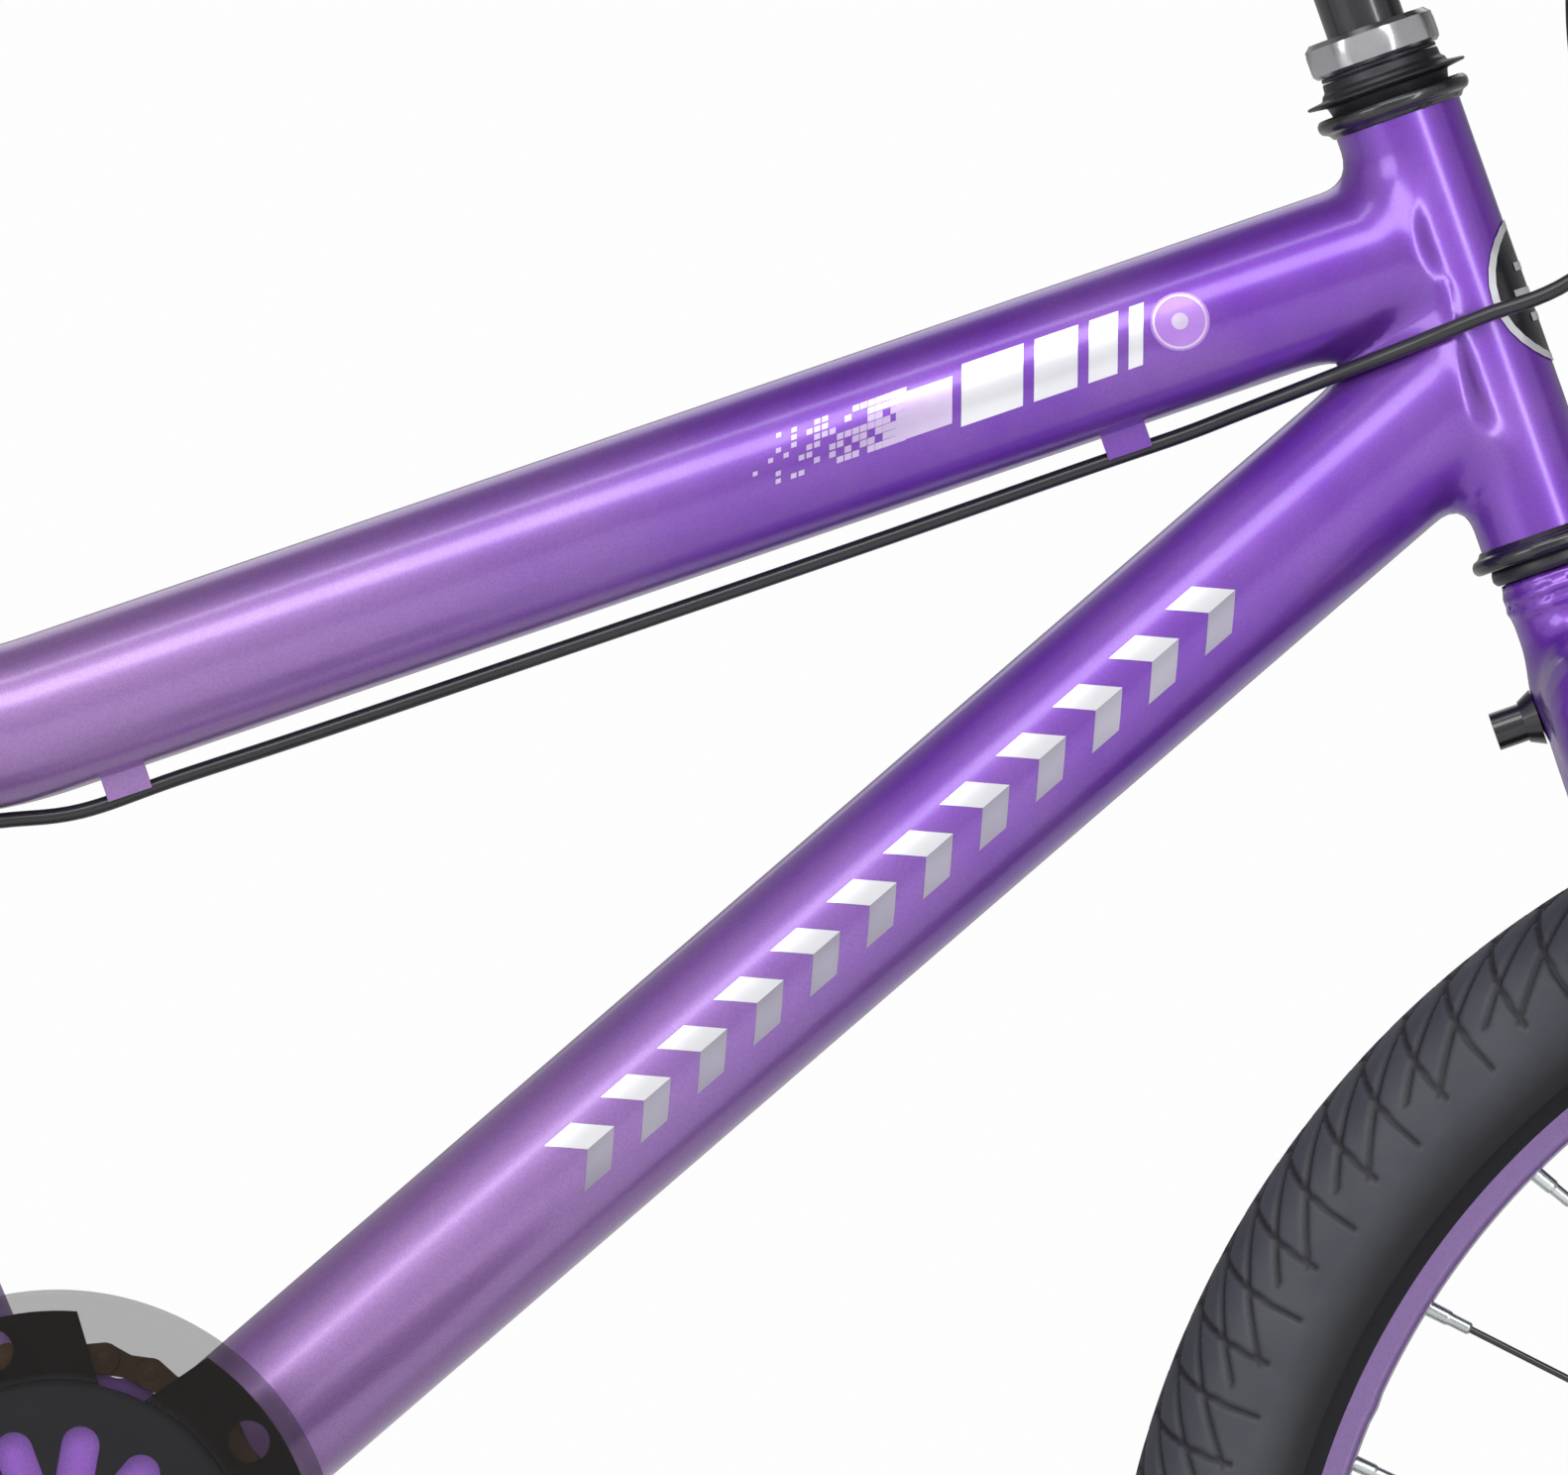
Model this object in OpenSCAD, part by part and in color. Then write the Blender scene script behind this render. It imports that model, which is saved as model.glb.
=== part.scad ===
// Twenty inch bmx bike with side-pull brakes, a one-piece crank and a quill stem.
// +X points forward, +Y to the rider's left, +Z up. The origin lies on the ground,
// midway between the axles.

/* [Wheels] */
// Diameter over the tyre tread
tyre_d = 508; // [490:1:620]
// Width of the tyre
tyre_w = 50; // [44:1:60]
// Radius of the seat that the tyre bead sits on
bead_r = 203; // [200:0.5:206]
// Width over the rim flanges
rim_w = 32; // [30:0.5:40]
// Number of spokes in a wheel
spoke_n = 28; // [20:4:36]

/* [Frame] */
// Horizontal distance from the crank axle to the front axle
front_centre = 526; // [500:1:640]
// Horizontal distance from the rear axle to the crank axle
rear_centre = 374; // [350:1:450]
// Height of the crank axle over the wheel axles
bb_rise = 38.7; // [30:0.1:50]
// Slope of the head tube from the ground
head_angle = 70.65; // [68:0.05:75]
// Slope of the seat tube from the ground
seat_angle = 67; // [64:0.5:72]
// Length of the head tube
head_tube_l = 114; // [95:1:137]
// Outer diameter of the head tube
head_tube_d = 34; // [32:0.5:40]
// Length of the seat tube, from the crank axle to its top
seat_tube_l = 262; // [240:1:320]
// Outer diameter of the top tube
top_tube_d = 42; // [35:0.5:44]
// Outer diameter of the down tube
down_tube_d = 45; // [37:0.5:46]
// Slope of the long front stretch of the top tube
top_tube_slope = 18.86; // [16:0.02:21]
// Slope of the short rear stretch of the top tube
top_tube_tail_slope = 4; // [0:0.5:10]
// Wall of the frame tubes
tube_wall = 1.8; // [1.2:0.1:2.5]

/* [Fork] */
// Distance of the front axle ahead of the steering axis
fork_offset = 29.5; // [20:0.5:40]
// Distance along the steering axis from the axle to the head tube
fork_height = 338; // [325:1:410]
// Distance between the middles of the two fork legs
fork_spread = 108; // [104:1:130]

/* [Cockpit] */
// Width over the bar ends
bar_w = 660; // [560:5:800]
// Rise of the handlebar from its clamp to the grips
bar_rise = 180; // [150:5:220]
// Diameter of the handlebar
bar_d = 22.2; // [21:0.1:25]
// Distance of the bar clamp ahead of the steering axis
stem_reach = 50; // [40:1:60]
// Height of the bar clamp over the top of the head tube
stem_rise = 58; // [50:1:75]

/* [Drive] */
// Teeth on the chainring
ring_teeth = 28; // [25:1:30]
// Teeth on the rear sprocket
sprocket_teeth = 16; // [14:1:18]
// Length of a crank arm, from axle to pedal
crank_l = 145; // [120:1:175]
// Outer diameter of the clear chain guard
guard_d = 147; // [140:1:180]

/* [Seat] */
// Diameter of the seat post
post_d = 25.4; // [24:0.1:26]
// Distance of the saddle clamp above the top of the seat tube
post_out = 130; // [100:1:160]
// Length of the saddle
saddle_l = 245; // [220:1:300]
// Width of the saddle
saddle_w = 150; // [130:1:180]

/* [Hidden] */
$fn = 64;
// Gap between pieces that move past each other
gap = 0.4;
// Radial room of a running fit
fit = 0.05;
// A hair that keeps cuts from ending in the same plane
hair = 1;

// Places of the main points, all in the centre plane
wheel_r = tyre_d / 2;
wheelbase = front_centre + rear_centre;
front_axle_at = [wheelbase / 2, 0, wheel_r];
rear_axle_at = [-wheelbase / 2, 0, wheel_r];
bb = front_axle_at + [-front_centre, 0, bb_rise];

// The steering frame: its z runs up the steering axis, its x runs forward
steer_lean = 90 - head_angle;
steer_up = [-sin(steer_lean), 0, cos(steer_lean)];
steer_fwd = [cos(steer_lean), 0, sin(steer_lean)];
steer_foot = front_axle_at - fork_offset * steer_fwd;
head_low = fork_height;
head_top = fork_height + head_tube_l;
function on_steer(x, z) = steer_foot + x * steer_fwd + z * steer_up;

// Tubes of the frame
head_bore_d = 30;
top_tube_drop = 33;
down_tube_lift = 45.6;
down_tube_miss = 7;
top_tube_run = 399;
shell_d = 58;
shell_l = 68;
shell_bore_d = 51.3;
seat_tube_d = post_d + 3.2;
tube_front = on_steer(0, head_top - top_tube_drop);
tube_back = bb - [0, 0, down_tube_miss];
tube_low_front = on_steer(0, head_low + down_tube_lift);
seat_up = [-cos(seat_angle), 0, sin(seat_angle)];
function on_seat(s) = bb + s * seat_up;
seat_top = on_seat(seat_tube_l);
// The bend keeps its share of the way back when the bike grows longer
tube_span = (tube_front[0] - bb[0]) / 359.5;
tube_bend = tube_front
  - top_tube_run * tube_span * [cos(top_tube_slope), 0, sin(top_tube_slope)];
tail = [-cos(top_tube_tail_slope), 0, -sin(top_tube_tail_slope)];
// Where the tail of the top tube reaches the seat tube's axis
tail_l = (seat_up[2] * (bb[0] - tube_bend[0]) - seat_up[0] * (bb[2] - tube_bend[2]))
  / (seat_up[2] * tail[0] - seat_up[0] * tail[2]);
tube_tail = tube_bend + tail_l * tail;
tube_tail_s = (tube_tail[2] - bb[2]) / seat_up[2];

// Rear triangle
rear_spacing = 110;
dropout_t = 5;
stay_y = rear_spacing / 2 + dropout_t / 2;
chain_stay_r = 9.5;
seat_stay_r = 8;
stay_end_r = 7;
stay_top = on_seat(tube_tail_s - 10);
bridge_clear = 19;
bridge_r = 6;
stay_dir = (stay_top - rear_axle_at) / norm(stay_top - rear_axle_at);
bridge_at = rear_axle_at + (wheel_r + bridge_clear) * stay_dir;
rear_brake_turn = atan2(stay_dir[0], stay_dir[2]);
bridge_share = 1 - (wheel_r + bridge_clear) / norm(stay_top - rear_axle_at);
function chain_stay_at(f, y) = bb + f * (rear_axle_at - bb) + [0, y, 0];
function seat_stay_at(f, y) = stay_top + f * (rear_axle_at - stay_top) + [0, y, 0];

// Fork
steerer_d = 25.4;
quill_d = 21.1;
crown_r = 15.3;
leg_top_r = 15.8;
leg_end_r = 9.5;
leg_y = fork_spread / 2;
crown_drop = 44;
crown_bend_r = leg_y - crown_r - 0.7;
leg_turn_z = head_low - crown_drop - crown_bend_r;
front_spacing = 100;
brake_z = head_low - 45.3;

// Brakes
brake_bolt_r = 3;
arm_t = 5;
arm_x = 20;
arm_w = 10;
pad_gap = 2;
pad_t = 8;
pad_l = 30;
pad_h = 9;
rim_track_r = bead_r + 2;
front_reach = brake_z - rim_track_r;
rear_reach = wheel_r + bridge_clear - rim_track_r + 3;
brake_arm_y = rim_w / 2 + pad_gap + pad_t + 5 + arm_w / 2;

// Hubs and axles
axle_r = 4.75;
hub_r = 14;
flange_r = 22;
flange_hole_r = 18.5;
flange_y = 30;
axle_end = 10;
nut_t = 8;
washer_t = 2;

// Drive train
pitch = 12.7;
chain_y = -42;
ring_pitch_r = pitch / (2 * sin(180 / ring_teeth));
sprocket_pitch_r = pitch / (2 * sin(180 / sprocket_teeth));
roller_r = 3.9;
ring_t = 2.6;
crank_r = 11;
crank_hub_y = 61;
pedal_y = 68;
guard_in_r = 50;
guard_y = -49;

// Cockpit
bar_lean = 14;
bar_r = bar_d / 2;
bar_z = head_top + stem_rise;
bar_low_y = 45;
bar_high_y = 125;
bar_sweep = 35;
bar_end_rise = 12;
grip_l = 118;
grip_r = 15.5;
perch_y = 172;
lever_x = 30;
cross_z = 0.76 * bar_rise;
cross_y = bar_low_y + (bar_high_y - bar_low_y) * cross_z / bar_rise;

// Seat
post_low_s = seat_tube_l - 90;
post_top_s = seat_tube_l + post_out;
rail_y = 22;
rail_r = 3.5;

// Brake cables, hand laid from lever to caliper
cable_r = 2.05;
guide_drop = 6;
guide_l = 12;
guide_low_at = 370;
guide_high_at = 94.5;
rear_cable_route = [
  [307, -137, 926], [317, -122, 927], [352, -103, 902], [376, -84, 850], [388, -66, 790],
  [387, -50, 735], [372, -38, 690], [347, -29, 652], [317, -24.6, 628.1], [294, -23, 618.8],
  [272, -17.5, 610], [250, -7, 601.3], [231, -1.5, 593.9], [216, 0, 588.1], [190, 0, 579.2],
  [120, 0, 554.8], [0, 0, 513.9], [-45, 0, 499], [-71, 0, 490.1], [-92, 0, 487.6],
  [-112, -5, 485], [-132, -15, 481.5], [-149, -24, 480.5], [-166, -31, 483.5],
  [-184, -36, 489], [-203, -37.5, 492.3], [-220, -36.5, 486.5], [-233.7, -36.5, 475]];
front_cable_route = [
  [307, 137, 926], [317, 122, 926], [340, 98, 893], [345, 80, 840], [335, 64, 790],
  [322, 50, 740], [319, 42, 700], [323, 38, 665], [329, 37, 619], [334, 36.5, 584],
  [340, 36.5, 563.5]];

// ---- helpers ----

function unit(v) = v / norm(v);

// A route whose corners are rounded to radius r, in n steps each
function rounded(p, r, n = 5) = [
  p[0],
  for (i = [1 : len(p) - 2])
    let (a = unit(p[i - 1] - p[i]), b = unit(p[i + 1] - p[i]), half = acos(a * b) / 2,
         mid = p[i] + unit(a + b) * r / sin(half), u = unit(p[i] + a * r / tan(half) - mid))
      for (k = [0 : n])
        let (turn = (180 - 2 * half) * k / n) mid + r * (u * cos(turn) - a * sin(turn)),
  p[len(p) - 1]];

function heading(p, i) =
  i == 0 ? unit(p[1] - p[0]) :
  i == len(p) - 1 ? unit(p[i] - p[i - 1]) :
  unit(unit(p[i] - p[i - 1]) + unit(p[i + 1] - p[i]));

function across(v, t) = unit(v - (v * t) * t);

// A smooth line through hand laid points, with n steps between two of them
function smooth(p, n = 3) = [
  for (i = [0 : len(p) - 2])
    let (a = p[max(i - 1, 0)], b = p[i], c = p[i + 1], d = p[min(i + 2, len(p) - 1)])
      for (k = [0 : n - 1])
        let (t = k / n)
          0.5 * (2 * b + (c - a) * t + (2 * a - 5 * b + 4 * c - d) * t * t
            + (3 * b - a - 3 * c + d) * t * t * t),
  p[len(p) - 1]];

// The rings of points around a line p: r0 is a radius at each point, or goes to r1
function rings(p, r0, r1, sides) =
  let (last = len(p) - 1,
    start = across(abs(heading(p, 0)[1]) < 0.9 ? [0, 1, 0] : [1, 0, 0], heading(p, 0)),
    sideways = [for (i = 0, v = start; i <= last;
      i = i + 1, v = i <= last ? across(v, heading(p, i)) : v) v])
    [for (i = [0 : last])
      let (t = heading(p, i), v = sideways[i], w = cross(t, v),
        r = is_list(r0) ? r0[i] : r0 + (r1 - r0) * i / last)
        for (k = [0 : sides - 1])
          p[i] + r * (v * cos(360 * k / sides) + w * sin(360 * k / sides))];

// The triangles between one ring and the next, as far as ring last
function walls(last, sides) = [for (i = [0 : last - 1], k = [0 : sides - 1])
  let (a = i * sides + k, b = i * sides + (k + 1) % sides)
    each [[a, a + sides, b], [b, a + sides, b + sides]]];

// A round bar swept along p, tapering from r0 to r1
module sweep(p, r0, r1, sides = 16) {
  last = len(p) - 1;
  polyhedron(points = rings(p, r0, r1, sides), faces = concat(
    [[for (k = [0 : sides - 1]) k]],
    walls(last, sides),
    [[for (k = [sides - 1 : -1 : 0]) last * sides + k]]));
}

// A round tube swept along p, made in one piece with its bore
module swept_tube(p, r, wall, sides) {
  last = len(p) - 1;
  n = len(p) * sides;
  end = last * sides;
  polyhedron(points = concat(rings(p, r, r, sides), rings(p, r - wall, r - wall, sides)),
    faces = concat(walls(last, sides),
      [for (f = walls(last, sides)) [f[2] + n, f[1] + n, f[0] + n]],
      [for (k = [0 : sides - 1]) let (m = (k + 1) % sides)
        each [[k, m, n + m], [k, n + m, n + k],
          [end + m, end + k, n + end + k], [end + m, n + end + k, n + end + m]]]));
}

// A straight round bar from a to b
module rod(a, b, r, r_end = undef) {
  way = b - a;
  l = norm(way);
  translate(a)
    rotate([0, acos(way[2] / l), atan2(way[1], way[0])])
      cylinder(h = l, r1 = r, r2 = is_undef(r_end) ? r : r_end);
}

// A bar across the bike, centred on y
module cross_bar(l, r) {
  rotate([90, 0, 0]) cylinder(h = l, r = r, center = true);
}

// A profile of radius and width turned about a wheel's axle
module turned() {
  rotate([90, 0, 0]) rotate_extrude($fn = 96) children();
}

module ring(out_r, in_r, t) {
  difference() {
    cylinder(h = t, r = out_r);
    translate([0, 0, -hair]) cylinder(h = t + 2 * hair, r = in_r);
  }
}

module steer() {
  translate(steer_foot) rotate([0, -steer_lean, 0]) children();
}

module bar_frame() {
  steer() translate([stem_reach, 0, bar_z]) rotate([0, bar_lean, 0]) children();
}

module at_front_brake() {
  steer() translate([0, 0, brake_z]) children();
}

module at_rear_brake() {
  translate(bridge_at) rotate([0, rear_brake_turn, 0]) rotate([0, 0, 180]) children();
}

module both_sides() {
  children();
  mirror([0, 1, 0]) children();
}

// ---- frame ----

module head_tube_space() {
  steer() translate([0, 0, head_low]) cylinder(h = head_tube_l, d = head_tube_d);
}

module shell_space() {
  translate(bb) cross_bar(shell_l + 2 * hair, shell_d / 2);
}

module seat_tube_space() {
  rod(bb, seat_top, seat_tube_d / 2);
}

module head_tube() {
  color([0.32, 0.1, 0.62])
    steer() translate([0, 0, head_low]) ring(head_tube_d / 2, head_bore_d / 2, head_tube_l);
}

// One straight stretch of the top tube, from a to a little past the bend
module top_tube_stretch(a) {
  way = unit(tube_bend - a);
  difference() {
    rod(a, tube_bend + 5 * way, top_tube_d / 2);
    rod(a - hair * way, tube_bend + 6 * way, top_tube_d / 2 - tube_wall);
    head_tube_space();
    seat_tube_space();
  }
}

// Two stretches, mitred where the tube bends
module top_tube() {
  mitre = (top_tube_slope + top_tube_tail_slope) / 2;
  color([0.42, 0.2, 0.7]) {
    difference() {
      top_tube_stretch(tube_front);
      translate(tube_bend) rotate([0, -mitre, 0]) translate([-50, -30, -30]) cube([50, 60, 60]);
    }
    difference() {
      top_tube_stretch(tube_tail);
      translate(tube_bend) rotate([0, -mitre, 0]) translate([-0.02, -30, -30]) cube([50, 60, 60]);
    }
  }
}

module down_tube() {
  color([0.42, 0.2, 0.7])
    difference() {
      rod(tube_back, tube_low_front, down_tube_d / 2);
      rod(tube_back, tube_low_front, down_tube_d / 2 - tube_wall);
      head_tube_space();
      shell_space();
      rod(tube_front, tube_bend, top_tube_d / 2);
    }
}

module seat_tube() {
  slot_l = 28;
  color([0.5, 0.3, 0.75])
    difference() {
      rod(bb, seat_top, seat_tube_d / 2);
      rod(bb, seat_top + hair * seat_up, post_d / 2 + fit);
      shell_space();
      rod(tube_back, tube_low_front, down_tube_d / 2);
      translate(seat_top) rotate([0, seat_angle - 90, 0])
        translate([-seat_tube_d, -1, -slot_l]) cube([seat_tube_d, 2, slot_l + hair]);
    }
}

module bottom_bracket_shell() {
  color([0.5, 0.3, 0.75])
    translate(bb) difference() {
      cross_bar(shell_l, shell_d / 2);
      cross_bar(shell_l + 2 * hair, shell_bore_d / 2);
    }
}

// A flat end plate with the axle's slot
module dropout() {
  plate_r = 17;
  color([0.5, 0.3, 0.75])
    translate(rear_axle_at + [0, stay_y, 0]) difference() {
      cross_bar(dropout_t, plate_r);
      cross_bar(dropout_t + 2 * hair, axle_r + 0.2);
    }
}

module chain_stays() {
  color([0.5, 0.3, 0.75]) {
    difference() {
      both_sides() sweep(rounded([chain_stay_at(0.04, 21), chain_stay_at(0.17, 26.5),
        chain_stay_at(0.36, 42), chain_stay_at(0.955, stay_y + 1)], 60),
        chain_stay_r, stay_end_r, 16);
      shell_space();
      both_sides() translate(rear_axle_at + [0, stay_y, 0]) cross_bar(dropout_t, 17);
    }
    both_sides() dropout();
  }
}

module seat_stays() {
  color([0.5, 0.3, 0.75])
    difference() {
      union() {
        both_sides() sweep(rounded([seat_stay_at(0.035, 12), seat_stay_at(0.16, 36),
          seat_stay_at(0.955, stay_y + 1)], 60), seat_stay_r, stay_end_r, 16);
        translate(bridge_at) cross_bar(2 * 37, bridge_r);
      }
      seat_tube_space();
      both_sides() translate(rear_axle_at + [0, stay_y, 0]) cross_bar(dropout_t, 17);
      both_sides() sweep(rounded([chain_stay_at(0.04, 21), chain_stay_at(0.17, 26.5),
        chain_stay_at(0.36, 42), chain_stay_at(0.955, stay_y + 1)], 60),
        chain_stay_r, stay_end_r, 16);
      at_rear_brake() rod([-12, 0, 0], [12, 0, 0], brake_bolt_r + fit);
    }
}

// A welded loop under the top tube, at a distance from the head tube's axis
module guide(distance) {
  back = distance * [cos(top_tube_slope), 0, sin(top_tube_slope)];
  under = top_tube_d / 2;
  translate(tube_front - back) rotate([0, -top_tube_slope, 0]) difference() {
    translate([-guide_l / 2, -4, -under - guide_drop - 3.2]) cube([guide_l, 8, guide_drop + 3.4]);
    rod([-guide_l, 0, -under - guide_drop], [guide_l, 0, -under - guide_drop], cable_r + 0.15);
    rod([-guide_l, 0, 0], [guide_l, 0, 0], under);
  }
}

module cable_guides() {
  color([0.45, 0.22, 0.72]) {
    guide(guide_high_at);
    guide(guide_low_at);
  }
}

// A pressed cup, its mouth towards +z and its rolled rim standing out
module headset_cup() {
  rotate_extrude() difference() {
    union() {
      polygon([[13.5, -11], [head_bore_d / 2, -11], [head_bore_d / 2, 0], [head_tube_d / 2, 0],
        [18.6, 2], [18.6, 6], [16.6, 6], [16.6, 2], [13.5, 1]]);
      translate([18.6, 4]) circle(r = 2.2, $fn = 32);
    }
    translate([0, 1.8]) square([16.6, 6]);
  }
}

module headset_cups() {
  color([0.06, 0.06, 0.07]) steer() {
    translate([0, 0, head_top]) headset_cup();
    translate([0, 0, head_low]) mirror([0, 0, 1]) headset_cup();
  }
}

// A ring of bearing balls about z
module ball_ring(circle_r, ball_r, n) {
  for (i = [0 : n - 1]) rotate(360 * i / n) translate([circle_r, 0, 0]) sphere(r = ball_r, $fn = 16);
}

module bearing_balls() {
  color([0.75, 0.75, 0.77]) {
    steer() translate([0, 0, head_top + 3.9]) ball_ring(14.75, 1.75, 14);
    steer() translate([0, 0, head_low - 3.9]) ball_ring(14.75, 1.75, 14);
    both_sides() translate(bb + [0, shell_l / 2 - 4.5, 0]) rotate([90, 0, 0]) ball_ring(19, 3, 9);
  }
}

module bottom_bracket_cups() {
  color([0.1, 0.1, 0.11])
    both_sides() translate(bb + [0, shell_l / 2, 0]) turned() polygon([
      [14.5, -3], [27, -3], [27, 0], [shell_bore_d / 2, 0], [shell_bore_d / 2, 12],
      [23.5, 12], [23.5, 8], [14.5, 8], [14.5, 7.8], [23, 7.7], [23, 0], [14.5, -1]]);
}

module seat_clamp() {
  collar_l = 14;
  color([0.08, 0.08, 0.09])
    translate(seat_top) rotate([0, seat_angle - 90, 0]) {
      difference() {
        union() {
          translate([0, 0, 1 - collar_l]) cylinder(h = collar_l, d = seat_tube_d + 6);
          translate([-seat_tube_d / 2 - 12, -9, 1 - collar_l]) cube([14, 18, collar_l]);
        }
        translate([0, 0, -collar_l]) cylinder(h = collar_l + 3, d = seat_tube_d);
        translate([-seat_tube_d / 2 - 13, -1.5, -collar_l]) cube([14, 3, collar_l + 3]);
        rod([-seat_tube_d / 2 - 7, -12, -5.5], [-seat_tube_d / 2 - 7, 12, -5.5], 3.05);
      }
      rod([-seat_tube_d / 2 - 7, -13, -5.5], [-seat_tube_d / 2 - 7, 13, -5.5], 3);
      rod([-seat_tube_d / 2 - 7, -14, -5.5], [-seat_tube_d / 2 - 7, -9.05, -5.5], 5);
      rod([-seat_tube_d / 2 - 7, 9.05, -5.5], [-seat_tube_d / 2 - 7, 14, -5.5], 5);
    }
}

// An axle with its cones, washers and nuts, for dropouts at plus and minus half
module axle_set(half, plate) {
  cross_bar(2 * (half + plate + washer_t + nut_t + axle_end), axle_r);
  both_sides() {
    difference() {
      translate([0, half - 8, 0]) cross_bar(16, 8);
      cross_bar(3 * half, axle_r);
    }
    difference() {
      translate([0, half + plate + washer_t / 2, 0]) cross_bar(washer_t, 10);
      cross_bar(3 * half, axle_r);
    }
    difference() {
      translate([0, half + plate + washer_t + nut_t / 2, 0]) rotate([90, 0, 0])
        cylinder(h = nut_t, r = 8.7, center = true, $fn = 6);
      cross_bar(3 * half, axle_r);
    }
  }
}

module rear_axle() {
  color([0.7, 0.7, 0.72]) translate(rear_axle_at) axle_set(rear_spacing / 2, dropout_t);
}

// ---- fork ----

// One leg: it leaves the neck sideways, turns down and tapers to its foot
module fork_leg() {
  turn_at = [0, leg_y, leg_turn_z];
  foot = [fork_offset, leg_y, 19];
  knee = turn_at + 0.45 * (foot - turn_at);
  arc = [for (a = [90 : -15 : 0])
    turn_at + [0, crown_bend_r * (cos(a) - 1), crown_bend_r * sin(a)]];
  start = [0, crown_r + 0.15, leg_turn_z + crown_bend_r];
  sweep(concat([start], arc, [knee, foot]),
    concat([for (i = [0 : 7]) leg_top_r], [(leg_top_r + leg_end_r) / 2, leg_end_r]), 0, 24);
}

module fork_legs() {
  plate_y = front_spacing / 2;
  color([0.3, 0.1, 0.6]) steer() both_sides() {
    fork_leg();
    difference() {
      union() {
        translate([fork_offset, plate_y + dropout_t / 2, 0]) cross_bar(dropout_t, 15);
        translate([fork_offset - 9, plate_y, 6]) cube([18, dropout_t, 11.5]);
      }
      translate([fork_offset, plate_y, 0]) cross_bar(40, axle_r + 0.2);
    }
  }
}

module steerer_tube() {
  neck_low = brake_z - 12;
  color([0.3, 0.1, 0.6]) steer() difference() {
    union() {
      translate([0, 0, head_low - 10]) cylinder(h = head_tube_l + 10 + 25, d = steerer_d);
      translate([0, 0, neck_low]) cylinder(h = head_low - 10 - neck_low, r = crown_r);
      for (z = [14, 18]) translate([0, 0, head_low - z])
        rotate_extrude() translate([crown_r - 0.4, 0]) circle(r = 1.2, $fn = 24);
    }
    translate([0, 0, neck_low - hair]) cylinder(h = head_tube_l * 2, d = quill_d + 2 * fit);
    rod([-30, 0, brake_z], [30, 0, brake_z], brake_bolt_r + 0.2);
  }
}

module headset_races() {
  color([0.1, 0.1, 0.11]) steer() {
    translate([0, 0, head_top]) rotate_extrude() polygon([
      [steerer_d / 2, 6.6], [15.6, 6.6], [15.6, 8.7], [20.6, 8.3], [21.6, 7.9], [21.6, 8.6],
      [20.6, 9.6], [16.6, 9.9], [16.6, 14.8], [steerer_d / 2, 14.8]]);
    translate([0, 0, head_low]) rotate_extrude() polygon([
      [steerer_d / 2, -6.6], [14.8, -6.6], [14.8, -8.3], [14, -10], [steerer_d / 2, -10]]);
  }
}

module keyed_washer() {
  color([0.2, 0.2, 0.21])
    steer() translate([0, 0, head_top + 14.8]) ring(15.8, steerer_d / 2, 1.2);
}

module headset_locknut() {
  nut_h = 9.3;
  color([0.3, 0.3, 0.32])
    steer() translate([0, 0, head_top + 16]) difference() {
      intersection() {
        rotate(15) cylinder(h = nut_h, r = 18.4, $fn = 8);
        cylinder(h = nut_h, r1 = 20, r2 = 17);
      }
      translate([0, 0, -hair]) cylinder(h = 20, d = steerer_d);
    }
}

// ---- cockpit ----

module bar_clamp_space() {
  bar_frame() cross_bar(200, bar_r);
}

module stem() {
  clamp_r = 17;
  color([0.06, 0.06, 0.07]) difference() {
    steer() {
      difference() {
        union() {
          translate([0, 0, head_top - 45]) cylinder(h = bar_z - head_top + 45 + 12, d = quill_d);
          translate([0, 0, bar_z - 16]) cylinder(h = 30, r = 15);
          rod([0, 0, bar_z], [stem_reach, 0, bar_z], 13);
          translate([stem_reach, 0, bar_z]) cross_bar(50, clamp_r);
        }
        translate([0, 0, head_top - 60]) cylinder(h = 200, r = 4.2);
        translate([stem_reach + 1.5, -40, bar_z - 40]) cube([40, 80, 80]);
      }
    }
    bar_clamp_space();
  }
}

module stem_face_plate() {
  color([0.06, 0.06, 0.07]) difference() {
    steer() difference() {
      translate([stem_reach, 0, bar_z]) cross_bar(50, 17);
      translate([stem_reach - 37.5, -40, bar_z - 40]) cube([40, 80, 80]);
      for (y = [-18, 18], z = [-13.4, 13.4]) {
        rod([stem_reach, y, bar_z + z], [stem_reach + 20, y, bar_z + z], 2.6);
        rod([stem_reach + 11, y, bar_z + z], [stem_reach + 20, y, bar_z + z], 4.4);
      }
    }
    bar_clamp_space();
  }
}

module stem_hardware() {
  color([0.55, 0.55, 0.58]) steer() {
    for (y = [-18, 18], z = [-13.4, 13.4]) {
      rod([stem_reach + 2.5, y, bar_z + z], [stem_reach + 12, y, bar_z + z], 2.5);
      rod([stem_reach + 11, y, bar_z + z], [stem_reach + 16, y, bar_z + z], 4.2);
    }
    translate([0, 0, head_top - 60]) cylinder(h = bar_z - head_top + 76, r = 4);
    translate([0, 0, bar_z + 14]) cylinder(h = 6, r = 7);
    translate([0, 0, head_top - 70]) cylinder(h = 24.5, r1 = quill_d / 2, r2 = quill_d / 2 - 1);
  }
}

bar_half = [[0, 0, 0], [0, bar_low_y, 0], [0, bar_high_y, bar_rise],
  [-bar_sweep, bar_w / 2, bar_rise + bar_end_rise]];
grip_way = unit(bar_half[3] - bar_half[2]);
function flip(p) = [p[0], -p[1], p[2]];
function on_bar(l) = bar_half[3] - l * grip_way;

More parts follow.
